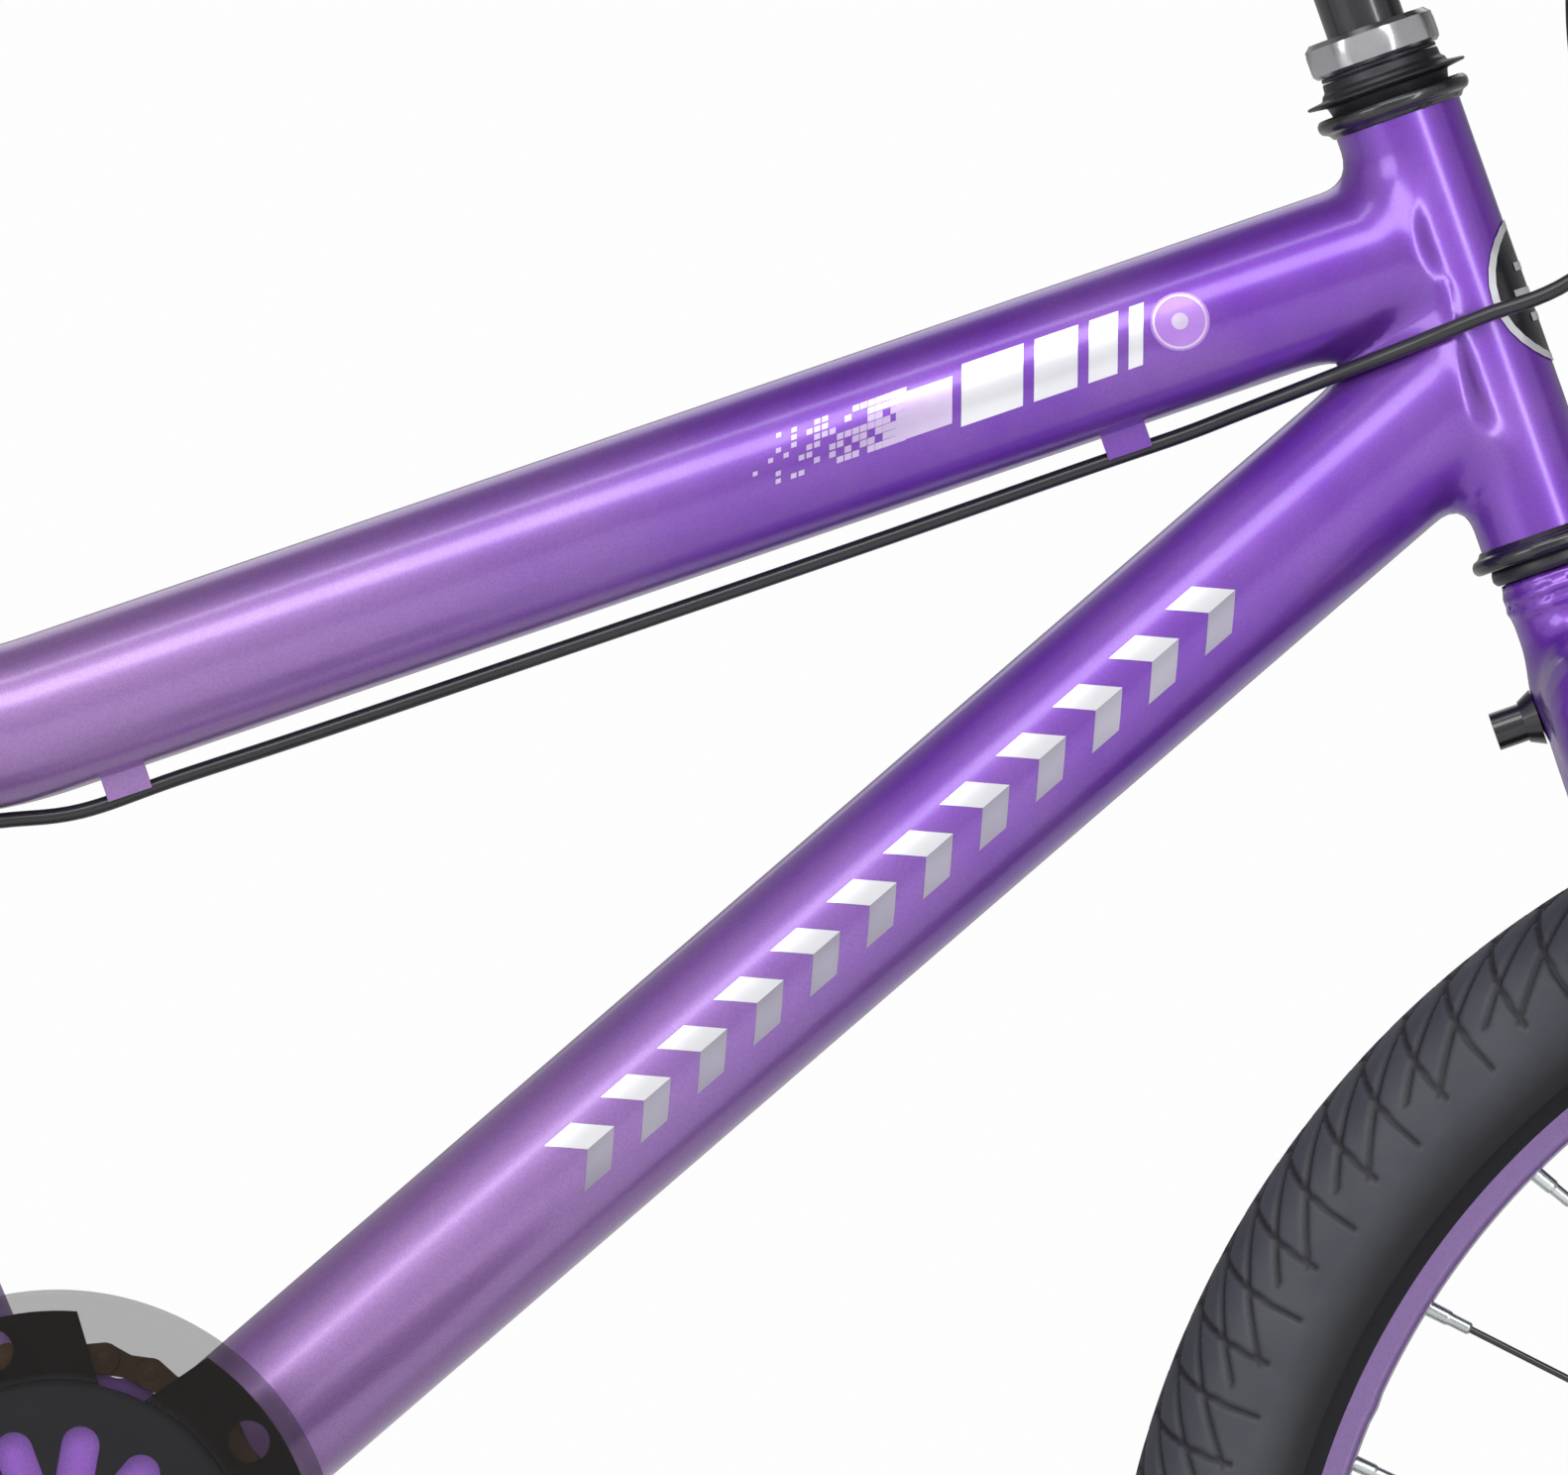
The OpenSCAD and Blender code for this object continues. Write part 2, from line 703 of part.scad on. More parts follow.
module handlebar() {
  left = rounded([bar_half[0], bar_half[1], bar_half[2], bar_half[3]], 28, 6);
  route = [for (i = [len(left) - 1 : -1 : 1]) flip(left[i]), each left];
  color([0.05, 0.05, 0.06]) bar_frame() {
    swept_tube(route, bar_r, 2.2, 18);
    difference() {
      rod([0, -cross_y, cross_z], [0, cross_y, cross_z], 9);
      both_sides() rod(bar_half[1], bar_half[2], bar_r + 0.05);
    }
  }
}

module grips() {
  color([0.05, 0.05, 0.05]) bar_frame() both_sides() difference() {
    union() {
      rod(on_bar(grip_l), on_bar(-3), grip_r);
      rod(on_bar(grip_l), on_bar(grip_l - 4), grip_r + 9);
    }
    rod(on_bar(grip_l + hair), on_bar(-0.2), bar_r + 0.1);
  }
}

perch_at = on_bar((bar_w / 2 - perch_y) / grip_way[1]);
lever_pivot = perch_at + [lever_x, 0, 0];

module lever_perches() {
  color([0.07, 0.07, 0.08]) bar_frame() both_sides() difference() {
    union() {
      rod(perch_at - 9 * grip_way, perch_at + 9 * grip_way, bar_r + 4);
      translate(perch_at + [bar_r, -6, -6]) cube([lever_x - bar_r - 7, 12, 12]);
      translate(lever_pivot - [11, 6, 10]) cube([17, 12, 4.1]);
      translate(lever_pivot + [-11, -6, 5.9]) cube([17, 12, 4.1]);
      translate(perch_at + [bar_r + 4, -20, -7]) cube([lever_x - bar_r + 2, 14, 14]);
      translate(lever_pivot - [0, 0, 10]) cylinder(h = 20, r = 2.5);
      rod(lever_pivot + [2, -19, 0], lever_pivot + [2, -34, 0], 4);
    }
    rod(perch_at - 12 * grip_way, perch_at + 12 * grip_way, bar_r + 0.1);
  }
}

// The blade swings about a pin between the perch's two ears
module brake_lever() {
  blade = rounded([lever_pivot, lever_pivot + [11, 22, 0], lever_pivot + [12, 60, 2],
    lever_pivot + [22, 108, 3]], 22, 4);
  difference() {
    union() {
      translate(lever_pivot - [0, 0, 5.5]) cylinder(h = 11, r = 5.7);
      sweep(blade, 5, 4.4, 14);
      translate(blade[len(blade) - 1]) sphere(r = 6, $fn = 32);
    }
    translate(lever_pivot - [0, 0, 12]) cylinder(h = 24, r = 2.5 + fit);
  }
}

module left_brake_lever() {
  color([0.07, 0.07, 0.08]) bar_frame() brake_lever();
}

module right_brake_lever() {
  color([0.07, 0.07, 0.08]) bar_frame() mirror([0, 1, 0]) brake_lever();
}

// ---- brakes ----

// A flat bent strip of width w along the points p, for linear_extrude
module strip(p, w) {
  last = len(p) - 1;
  left = [for (i = [0 : last]) let (t = heading(p, i)) p[i] + w / 2 * [-t[1], t[0]]];
  right = [for (i = [last : -1 : 0]) let (t = heading(p, i)) p[i] - w / 2 * [-t[1], t[0]]];
  polygon(concat(left, right));
}

// One arm on the bolt: x runs along the bolt, side is where its pad is,
// layer is its place in the stack, lift is how high its cable end stands
module caliper_arm(reach, side, layer, lift) {
  x0 = arm_x + layer * (arm_t + gap);
  pad_x = x0 + arm_t / 2;
  pad_y = rim_w / 2 + pad_gap;
  difference() {
    union() {
      translate([x0, 0, 0]) rotate([90, 0, 90]) linear_extrude(arm_t) {
        circle(r = 9);
        strip([[0, 0], [side * 26, -2], [side * 40, -14], [side * 44, -36],
          [side * brake_arm_y, -reach + 22], [side * brake_arm_y, -reach - 7]], arm_w);
        strip([[0, 0], [20, lift * 0.6], [36.5, lift]], arm_w);
        translate([36.5, lift]) circle(r = 7);
      }
      rod([pad_x, side * (pad_y + pad_t + 0.05), -reach],
        [pad_x, side * (brake_arm_y + 9.5), -reach], 3);
      translate([pad_x - pad_l / 2, side * (pad_y + pad_t / 2) - pad_t / 2, -reach - pad_h / 2])
        cube([pad_l, pad_t, pad_h]);
      rod([pad_x, side * (brake_arm_y + arm_w / 2), -reach],
        [pad_x, side * (brake_arm_y + arm_w / 2 + 3.5), -reach], 4.2);
    }
    rod([0, 0, 0], [60, 0, 0], brake_bolt_r + fit);
  }
}

module front_brake_left_arm() {
  color([0.07, 0.07, 0.08]) at_front_brake() caliper_arm(front_reach, 1, 1, 26);
}

module front_brake_right_arm() {
  color([0.07, 0.07, 0.08]) at_front_brake() caliper_arm(front_reach, -1, 0, 8);
}

module rear_brake_right_arm() {
  color([0.07, 0.07, 0.08]) at_rear_brake() caliper_arm(rear_reach, 1, 1, 26);
}

module rear_brake_left_arm() {
  color([0.07, 0.07, 0.08]) at_rear_brake() caliper_arm(rear_reach, -1, 0, 8);
}

// The pivot bolt, from its rear nut to the nut in front of the arms
module caliper_bolt(back, wide) {
  front = arm_x + 2 * (arm_t + gap) + 1;
  rod([-back - 11, 0, 0], [front + 9, 0, 0], brake_bolt_r);
  difference() {
    union() {
      rod([-back - 1, 0, 0], [-back - 5, 0, 0], 7.5, 5.5);
      rod([-back - 5, 0, 0], [-back - 13, 0, 0], 5);
      rod([wide + 0.2, 0, 0], [arm_x - gap, 0, 0], 7);
      rod([front, 0, 0], [front + 5, 0, 0], 5.6);
    }
    rod([-back - 12, 0, 0], [60, 0, 0], brake_bolt_r);
  }
}

module front_brake_bolt() {
  color([0.08, 0.08, 0.09]) at_front_brake() caliper_bolt(crown_r + 1, leg_top_r);
}

module rear_brake_bolt() {
  color([0.08, 0.08, 0.09]) at_rear_brake() caliper_bolt(bridge_r, bridge_r);
}

module rear_brake_cable() {
  color([0.05, 0.05, 0.06]) sweep(smooth(rear_cable_route), cable_r, cable_r, 8);
}

module front_brake_cable() {
  color([0.05, 0.05, 0.06]) sweep(smooth(front_cable_route), cable_r, cable_r, 8);
}

// ---- wheels ----

section_r = tyre_w / 2;
section_at = wheel_r - section_r;
flange_top_r = bead_r + 8.8;
bead_y = rim_w / 2 - 3.3;
rim_low_r = bead_r - 2.8;

module tyre() {
  color([0.13, 0.13, 0.15]) turned() difference() {
    union() {
      translate([section_at, 0]) circle(r = section_r);
      translate([bead_r + 0.2, -bead_y]) square([14, 2 * bead_y]);
    }
    translate([section_at + 1.2, 0]) circle(r = section_r - 4.7);
    translate([bead_r - 10, -bead_y + 3.2]) square([18, 2 * bead_y - 6.4]);
    for (s = [-1, 1])
      translate([bead_r - 10, s > 0 ? bead_y + 0.01 : -bead_y - 20.01]) square([19.2, 20]);
  }
}

module inner_tube() {
  tube_r = section_r - 5.4;
  color([0.1, 0.1, 0.1]) {
    turned() translate([section_at + 1.2, 0]) difference() {
      circle(r = tube_r);
      circle(r = tube_r - 1.2);
    }
    rod([-section_at - 1.2 + tube_r - 0.6, 0, 0], [-rim_low_r + 22, 0, 0], 4);
  }
}

module rim() {
  half = rim_w / 2;
  color([0.45, 0.3, 0.65]) difference() {
    turned() polygon([
      [rim_low_r, -half + 7], [rim_low_r, half - 7], [bead_r + 1, half - 0.5],
      [flange_top_r, half], [flange_top_r, half - 2.6], [bead_r, half - 3.1],
      [bead_r, half - 6.5], [rim_low_r + 1.6, half - 7.6], [rim_low_r + 1.6, -half + 7.6],
      [bead_r, -half + 6.5], [bead_r, -half + 3.1], [flange_top_r, -half + 2.6],
      [flange_top_r, -half], [bead_r + 1, -half + 0.5]]);
    rod([-rim_low_r - 8, 0, 0], [-rim_low_r + 8, 0, 0], 4.3);
  }
}

// Spokes run crossed: those of one way on the flange's outer face, the others inside
module spokes(spread) {
  nipple_l = 12;
  elbow_out = [2.9, 4.6];
  seat_r = rim_low_r - 0.5;
  for (i = [0 : spoke_n - 1]) {
    side = i % 2 == 0 ? 1 : -1;
    way = floor(i / 2) % 2 == 0 ? 1 : -1;
    at = 360 * (i + 0.5) / spoke_n;
    turn = at + way * 80;
    from_flange = way > 0 ? elbow_out[1] : -elbow_out[0];
    hub_end = [flange_hole_r * cos(turn), side * (spread + from_flange), flange_hole_r * sin(turn)];
    rim_end = [seat_r * cos(at), side * (4 + way * 1.4), seat_r * sin(at)];
    color([0.1, 0.1, 0.1]) rod(hub_end, rim_end + 3 * unit(hub_end - rim_end), 1, 1);
    color([0.8, 0.8, 0.82]) rod(rim_end, rim_end + nipple_l * unit(hub_end - rim_end), 2, 1.7);
  }
}

// Hub shell with two flanges, open for the bearings
module hub(half, spread) {
  color([0.1, 0.1, 0.11]) difference() {
    union() {
      cross_bar(2 * half - 2 * gap - 14, hub_r);
      both_sides() translate([0, spread, 0]) cross_bar(3, flange_r);
    }
    cross_bar(3 * half, axle_r + 0.5);
    both_sides() translate([0, half, 0]) cross_bar(34, 10);
  }
}

module front_wheel_at() {
  translate(front_axle_at) children();
}

module rear_wheel_at() {
  translate(rear_axle_at) children();
}

module front_tyre() { front_wheel_at() tyre(); }
module front_inner_tube() { front_wheel_at() inner_tube(); }
module front_rim() { front_wheel_at() rim(); }
module front_spokes() { front_wheel_at() spokes(flange_y); }
module front_hub() { front_wheel_at() hub(front_spacing / 2, flange_y); }
module front_axle() {
  color([0.7, 0.7, 0.72]) front_wheel_at() axle_set(front_spacing / 2, dropout_t);
}
module rear_tyre() { rear_wheel_at() tyre(); }
module rear_inner_tube() { rear_wheel_at() inner_tube(); }
module rear_rim() { rear_wheel_at() rim(); }
module rear_spokes() { rear_wheel_at() spokes(flange_y); }
module rear_hub() { rear_wheel_at() hub(rear_spacing / 2, flange_y); }

// ---- drive ----

// A toothed disc about z whose gaps fit the chain's rollers
module toothed(teeth, pitch_r, first) {
  difference() {
    circle(r = pitch_r + 3, $fn = 96);
    for (i = [0 : teeth - 1]) rotate(first + 360 * i / teeth) {
      translate([pitch_r, 0]) circle(r = roller_r + 0.3, $fn = 20);
      translate([pitch_r + 2.4, 0]) circle(r = roller_r + 1, $fn = 20);
    }
  }
}

// The chain's straight runs lean by this much against the line of centres
centre_way = rear_axle_at - bb;
centre_l = norm(centre_way);
// Angles are counted in the plane seen from the drive side, x forward and z up
line_turn = atan2(centre_way[2], centre_way[0]);
lean = asin((ring_pitch_r - sprocket_pitch_r) / centre_l);
upper_turn = line_turn - 90 + lean;
lower_turn = line_turn + 90 - lean;
run_l = centre_l * cos(lean);
run_links = round(run_l / pitch);
ring_step = 360 / ring_teeth;
sprocket_step = 360 / sprocket_teeth;
ring_wrap = round((180 + 2 * lean) / ring_step);
sprocket_wrap = round((180 - 2 * lean) / sprocket_step);
function polar(c, r, a) = [c[0] + r * cos(a), c[2] + r * sin(a)];
// Places of the rollers, around the ring, along the top, around the sprocket, back below
ring_rollers = [for (i = [0 : ring_wrap]) polar(bb, ring_pitch_r, upper_turn - i * ring_step)];
sprocket_rollers = [for (i = [0 : sprocket_wrap])
  polar(rear_axle_at, sprocket_pitch_r, upper_turn + i * sprocket_step)];
low_links = round(norm(ring_rollers[ring_wrap] - sprocket_rollers[sprocket_wrap]) / pitch);
function between(a, b, n) = [for (i = [1 : n - 1]) a + (b - a) * i / n];
rollers = concat(ring_rollers,
  between(ring_rollers[ring_wrap], sprocket_rollers[sprocket_wrap], low_links),
  [for (i = [sprocket_wrap : -1 : 0]) sprocket_rollers[i]],
  between(sprocket_rollers[0], ring_rollers[0], run_links));

function wrap(i) = (i + len(rollers)) % len(rollers);
// The closed line of roller centres moved outwards by d
function beside(d) = [for (i = [0 : len(rollers) - 1])
  let (t = unit(rollers[wrap(i + 1)] - rollers[wrap(i - 1)])) rollers[i] + d * [-t[1], t[0]]];

module chain() {
  plate_h = 4.1;
  color([0.28, 0.24, 0.2]) rotate([90, 0, 0]) {
    for (y = [-chain_y - 4, -chain_y + 2.4]) translate([0, 0, y]) linear_extrude(1.6)
      difference() {
        polygon(beside(plate_h));
        polygon(beside(-plate_h));
      }
    for (p = rollers) translate([p[0], p[1], -chain_y - 3]) cylinder(h = 6, r = roller_r - 0.3, $fn = 16);
  }
}

module freewheel() {
  color([0.35, 0.33, 0.32]) translate([rear_axle_at[0], 0, rear_axle_at[2]])
    rotate([90, 0, 0]) difference() {
      union() {
        translate([0, 0, -chain_y - ring_t / 2]) linear_extrude(ring_t)
          toothed(sprocket_teeth, sprocket_pitch_r, upper_turn);
        translate([0, 0, rear_spacing / 2 - 18.2]) cylinder(h = 13.7, r = 21);
      }
      translate([0, 0, 20]) cylinder(h = 40, r = hub_r + gap);
    }
}

module chainring() {
  color([0.42, 0.24, 0.62]) translate(bb) rotate([90, 0, 0]) {
    translate([0, 0, -chain_y - ring_t / 2]) linear_extrude(ring_t) difference() {
      toothed(ring_teeth, ring_pitch_r, upper_turn);
      circle(r = crank_r);
    }
    translate([0, 0, -chain_y - ring_t / 2 - 3.2]) ring(19, crank_r, 3.2);
  }
}

module chain_guard() {
  lip = 1.2;
  color([0.5, 0.45, 0.4, 0.6]) translate(bb + [0, guard_y, 0]) turned() polygon([
    [guard_in_r, -1], [guard_in_r, lip], [guard_in_r + 1.5, lip], [guard_in_r + 1.5, -1 + lip],
    [guard_d / 2 - 3.5, -1 + lip],
    [guard_d / 2 - 2.5, lip], [guard_d / 2, lip], [guard_d / 2, -1.6], [guard_d / 2 - 3.5, -1.6],
    [guard_d / 2 - 3.5, -1]]);
}

// The black disc that carries the clear ring on five tabs, cut by round ended slots
module guard_disc() {
  slot_n = 12;
  disc_t = 4.4;
  tab_t = 1.2;
  tab_n = 5;
  tab_w = 48;
  tab_end = guard_d / 2 - 5.5;
  color([0.05, 0.05, 0.07]) translate(bb + [0, chain_y - ring_t / 2 - 0.2, 0]) rotate([90, 0, 0])
    difference() {
      union() {
        cylinder(h = disc_t, r = guard_in_r - 0.3);
        intersection() {
          for (i = [0 : tab_n - 1]) rotate(34.5 + 360 * i / tab_n)
            translate([guard_in_r - 14, -tab_w / 2, disc_t - tab_t]) cube([40, tab_w, tab_t]);
          cylinder(h = disc_t, r = tab_end);
        }
      }
      translate([0, 0, -hair]) cylinder(h = 6, r = crank_r + 6);
      for (i = [0 : tab_n - 1]) rotate(34.5 + 360 * i / tab_n)
        translate([tab_end - 8, 0, -hair]) cylinder(h = 8, r = 5.5, $fn = 32);
      for (i = [0 : slot_n - 1]) rotate(360 * i / slot_n + 20) {
        translate([33.5, 0, -hair]) cylinder(h = 8, r = 5, $fn = 32);
        translate([20, -5, -hair]) cube([13.5, 10, 8]);
      }
    }
}

module crank_arms() {
  color([0.07, 0.07, 0.08]) translate(bb) difference() {
    union() {
      cross_bar(2 * crank_hub_y - 10, crank_r);
      for (s = [-1, 1]) {
        sweep(rounded([[0, s * (crank_hub_y - 6), 0], [s * -16, s * (crank_hub_y + 1), 0],
          [s * -(crank_l - 6), s * pedal_y, 0]], 24, 4), crank_r - 1, 7.8, 20);
        translate([s * -crank_l, s * pedal_y, 0]) cross_bar(16, 13);
      }
    }
    for (s = [-1, 1]) translate([s * -crank_l, s * pedal_y, 0]) cross_bar(20, 7.1);
  }
}

module crank_cones() {
  color([0.6, 0.6, 0.62]) translate(bb) difference() {
    union() {
      both_sides() translate([0, shell_l / 2 - 2.5, 0]) cross_bar(9, 13.6);
      translate([0, shell_l / 2 + 7, 0]) rotate([90, 0, 0])
        cylinder(h = 6, r = 16, center = true, $fn = 6);
    }
    cross_bar(2 * shell_l, crank_r);
  }
}

module pedal_spindles() {
  color([0.7, 0.7, 0.72]) for (s = [-1, 1]) translate(bb + [s * -crank_l, 0, 0]) {
    translate([0, s * (pedal_y + 46), 0]) cross_bar(108, 5);
    translate([0, s * pedal_y, 0]) cross_bar(16, 7);
    translate([0, s * (pedal_y + 11), 0]) cross_bar(5.9, 9);
  }
}

// A platform pedal: a hub tube, two end plates, two toothed rails and two reflectors
module pedal() {
  pedal_l = 92;
  pedal_w = 84;
  color([0.06, 0.06, 0.06]) difference() {
    union() {
      cross_bar(pedal_w, 10);
      for (y = [-1, 1]) translate([-pedal_l / 2, y * (pedal_w / 2 - 3) - 3, -11]) cube([pedal_l, 6, 22]);
      for (x = [-1, 1]) translate([x * (pedal_l / 2 - 4) - 4, -pedal_w / 2, -11]) cube([8, pedal_w, 22]);
      for (x = [-1, 1], y = [-1, 1]) translate([x * 24 - 2.5, y * 21 - 21, -9]) cube([5, 42, 18]);
      for (y = [-14, 14]) translate([-pedal_l / 2, y - 2.5, -9]) cube([pedal_l, 5, 18]);
    }
    cross_bar(pedal_w + 2, 5 + fit);
  }
}

module left_pedal() {
  translate(bb + [-crank_l, pedal_y + 57, 0]) pedal();
}

module right_pedal() {
  translate(bb + [crank_l, -pedal_y - 57, 0]) pedal();
}

// ---- seat ----

module seat_post() {
  color([0.08, 0.08, 0.09]) difference() {
    rod(on_seat(post_low_s), on_seat(post_top_s), post_d / 2);
    rod(on_seat(post_low_s - 1), on_seat(post_top_s - 6), post_d / 2 - 2);
  }
}

module saddle_frame() {
  translate(on_seat(post_top_s)) rotate([0, -4, 0]) children();
}

module saddle_clamp() {
  color([0.1, 0.1, 0.11]) saddle_frame() difference() {
    union() {
      translate([-17, -rail_y - 7, -4]) cube([34, 2 * rail_y + 14, 18]);
      translate([0, 0, 5]) cross_bar(2 * rail_y + 30, 4);
      for (y = [-1, 1]) translate([0, y * (rail_y + 10), 5]) rotate([90, 0, 0])
        cylinder(h = 6, r = 7, center = true, $fn = 6);
    }
    for (s = [-1, 1]) rod([-30, s * rail_y, 5], [30, s * rail_y, 5], rail_r + 0.1);
    rotate([0, seat_angle - 90 + 4, 0]) translate([0, 0, -60])
      cylinder(h = 60, r = post_d / 2 + 0.1);
  }
}

// Two steel rails, straight through the clamp and rising into the base at both ends
module saddle_rails() {
  color([0.7, 0.7, 0.72]) saddle_frame() for (s = [-1, 1])
    sweep(rounded([[-72, s * (rail_y + 12), 23.6], [-38, s * rail_y, 5], [40, s * rail_y, 5],
      [92, s * 8, 23.6]], 26, 4), rail_r, rail_r, 12);
}

// Plan outline of the saddle, wide behind and narrow in front, w times its width
function saddle_outline(w, n = 12) = [
  for (side = [1, -1], k = [0 : n])
    let (f = side > 0 ? k / n : 1 - k / n,
         half = saddle_w * (0.125 + 0.375 * pow(sin(90 * min(1, 1.35 * (1 - f))), 2.2)),
         end = sqrt(max(0, 1 - pow(max(abs(2 * f - 1), 0.8) * 5 - 4, 2))))
      [(f - 0.45) * saddle_l * (0.9 + 0.1 * w), side * w * half * end]];

module saddle_base() {
  color([0.06, 0.06, 0.06]) saddle_frame()
    translate([0, 0, 28]) linear_extrude(5) polygon(saddle_outline(0.94));
}

module saddle_cushion() {
  color([0.08, 0.08, 0.09]) saddle_frame() {
    translate([0, 0, 33.2]) linear_extrude(14) polygon(saddle_outline(1));
    translate([0, 0, 47]) linear_extrude(10) polygon(saddle_outline(0.84));
  }
}

head_tube();
top_tube();
down_tube();
seat_tube();
bottom_bracket_shell();
chain_stays();
seat_stays();
cable_guides();
headset_cups();
bearing_balls();
bottom_bracket_cups();
seat_clamp();
rear_axle();
rear_brake_bolt();
rear_brake_cable();
chain();
steerer_tube();
fork_legs();
headset_races();
keyed_washer();
headset_locknut();
stem();
stem_face_plate();
stem_hardware();
handlebar();
grips();
front_axle();
lever_perches();
front_brake_bolt();
front_brake_cable();
front_tyre();
front_inner_tube();
front_rim();
front_spokes();
front_hub();
rear_tyre();
rear_inner_tube();
rear_rim();
rear_spokes();
rear_hub();
freewheel();
crank_arms();
crank_cones();
chainring();
chain_guard();
guard_disc();
pedal_spindles();
left_pedal();
right_pedal();
left_brake_lever();
right_brake_lever();
front_brake_left_arm();
front_brake_right_arm();
rear_brake_left_arm();
rear_brake_right_arm();
seat_post();
saddle_clamp();
saddle_rails();
saddle_base();
saddle_cushion();
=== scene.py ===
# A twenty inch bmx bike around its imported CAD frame. Metres; +X forward, +Y left, +Z up.
import math

import bpy
import numpy as np
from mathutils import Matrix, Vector


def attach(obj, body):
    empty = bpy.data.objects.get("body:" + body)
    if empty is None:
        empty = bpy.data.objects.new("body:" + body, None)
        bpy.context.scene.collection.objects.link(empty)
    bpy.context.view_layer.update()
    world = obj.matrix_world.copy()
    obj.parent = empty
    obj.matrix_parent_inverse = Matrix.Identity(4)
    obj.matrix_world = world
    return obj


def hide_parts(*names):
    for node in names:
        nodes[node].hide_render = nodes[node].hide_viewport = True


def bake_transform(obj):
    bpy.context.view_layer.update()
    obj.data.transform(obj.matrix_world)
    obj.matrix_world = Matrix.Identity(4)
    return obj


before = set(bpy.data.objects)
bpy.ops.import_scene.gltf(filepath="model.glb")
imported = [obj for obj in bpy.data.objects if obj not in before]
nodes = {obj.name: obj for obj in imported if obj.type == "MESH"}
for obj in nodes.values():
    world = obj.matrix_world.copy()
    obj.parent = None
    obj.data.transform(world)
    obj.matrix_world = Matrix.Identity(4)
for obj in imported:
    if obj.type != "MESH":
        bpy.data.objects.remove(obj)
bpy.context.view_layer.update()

# ---- places, from the CAD source ----
LEAN = math.radians(19.35)
UP = np.array([-math.sin(LEAN), 0, math.cos(LEAN)])
FWD = np.array([math.cos(LEAN), 0, math.sin(LEAN)])
LEFT = np.array([0.0, 1, 0])
FRONT_AXLE = np.array([0.45, 0, 0.254])
REAR_AXLE = np.array([-0.45, 0, 0.254])
BB = np.array([-0.076, 0, 0.2927])
FORK_OFFSET = 0.0295
FOOT = FRONT_AXLE - FORK_OFFSET * FWD
HEAD_LOW, HEAD_TOP = 0.338, 0.452
SEAT_UP = np.array([-math.cos(math.radians(67)), 0, math.sin(math.radians(67))])


def steer(x, z, y=0.0):
    return FOOT + x * FWD + z * UP + y * LEFT


STEER_AXES = np.array([FWD, LEFT, UP])


def srgb(r, g, b):
    f = [c / 255 for c in (r, g, b)]
    return tuple(c / 12.92 if c < 0.04045 else ((c + 0.055) / 1.055) ** 2.4 for c in f) + (1,)


# ---- materials ----
class Nodes:
    """A short way to make a node material."""

    def __init__(self, name):
        self.m = bpy.data.materials.new(name)
        self.m.use_nodes = True
        self.t = self.m.node_tree
        self.b = self.t.nodes["Principled BSDF"]

    def new(self, kind, **values):
        n = self.t.nodes.new("ShaderNode" + kind)
        for k, v in values.items():
            if hasattr(n, k):
                setattr(n, k, v)
            else:
                n.inputs[k.replace("_", " ")].default_value = v
        return n

    def link(self, a, b):
        self.t.links.new(a, b)

    def put(self, **values):
        for k, v in values.items():
            self.b.inputs[k.replace("_", " ")].default_value = v

    def coords(self):
        return self.new("TexCoord").outputs["Object"]

    def noise(self, scale, detail=3.0, rough=0.5):
        n = self.new("TexNoise")
        n.inputs["Scale"].default_value = scale
        n.inputs["Detail"].default_value = detail
        n.inputs["Roughness"].default_value = rough
        self.link(self.coords(), n.inputs["Vector"])
        return n.outputs["Fac"]

    def ramp(self, fac, stops, mode="LINEAR"):
        n = self.new("ValToRGB")
        n.color_ramp.interpolation = mode
        e = n.color_ramp.elements
        while len(e) < len(stops):
            e.new(0.5)
        for i, (at, colour) in enumerate(stops):
            e[i].position = at
            e[i].color = colour if hasattr(colour, "__len__") else (colour,) * 3 + (1,)
        self.link(fac, n.inputs["Fac"])
        return n.outputs["Color"]

    def mix(self, fac, a, b, blend="MIX"):
        n = self.new("Mix")
        n.data_type = "RGBA"
        n.blend_type = blend
        for value, key in ((fac, 0), (a, 6), (b, 7)):
            if isinstance(value, bpy.types.NodeSocket):
                self.link(value, n.inputs[key])
            else:
                n.inputs[key].default_value = value
        return n.outputs[2]

    def bump(self, height, strength, distance):
        n = self.new("Bump")
        n.inputs["Strength"].default_value = strength
        n.inputs["Distance"].default_value = distance
        self.link(height, n.inputs["Height"])
        self.link(n.outputs["Normal"], self.b.inputs["Normal"])

    def colour(self, socket):
        self.link(socket, self.b.inputs["Base Color"])

    def rough(self, socket, low, high):
        n = self.new("MapRange")
        n.inputs["To Min"].default_value = low
        n.inputs["To Max"].default_value = high
        self.link(socket, n.inputs["Value"])
        self.link(n.outputs["Result"], self.b.inputs["Roughness"])


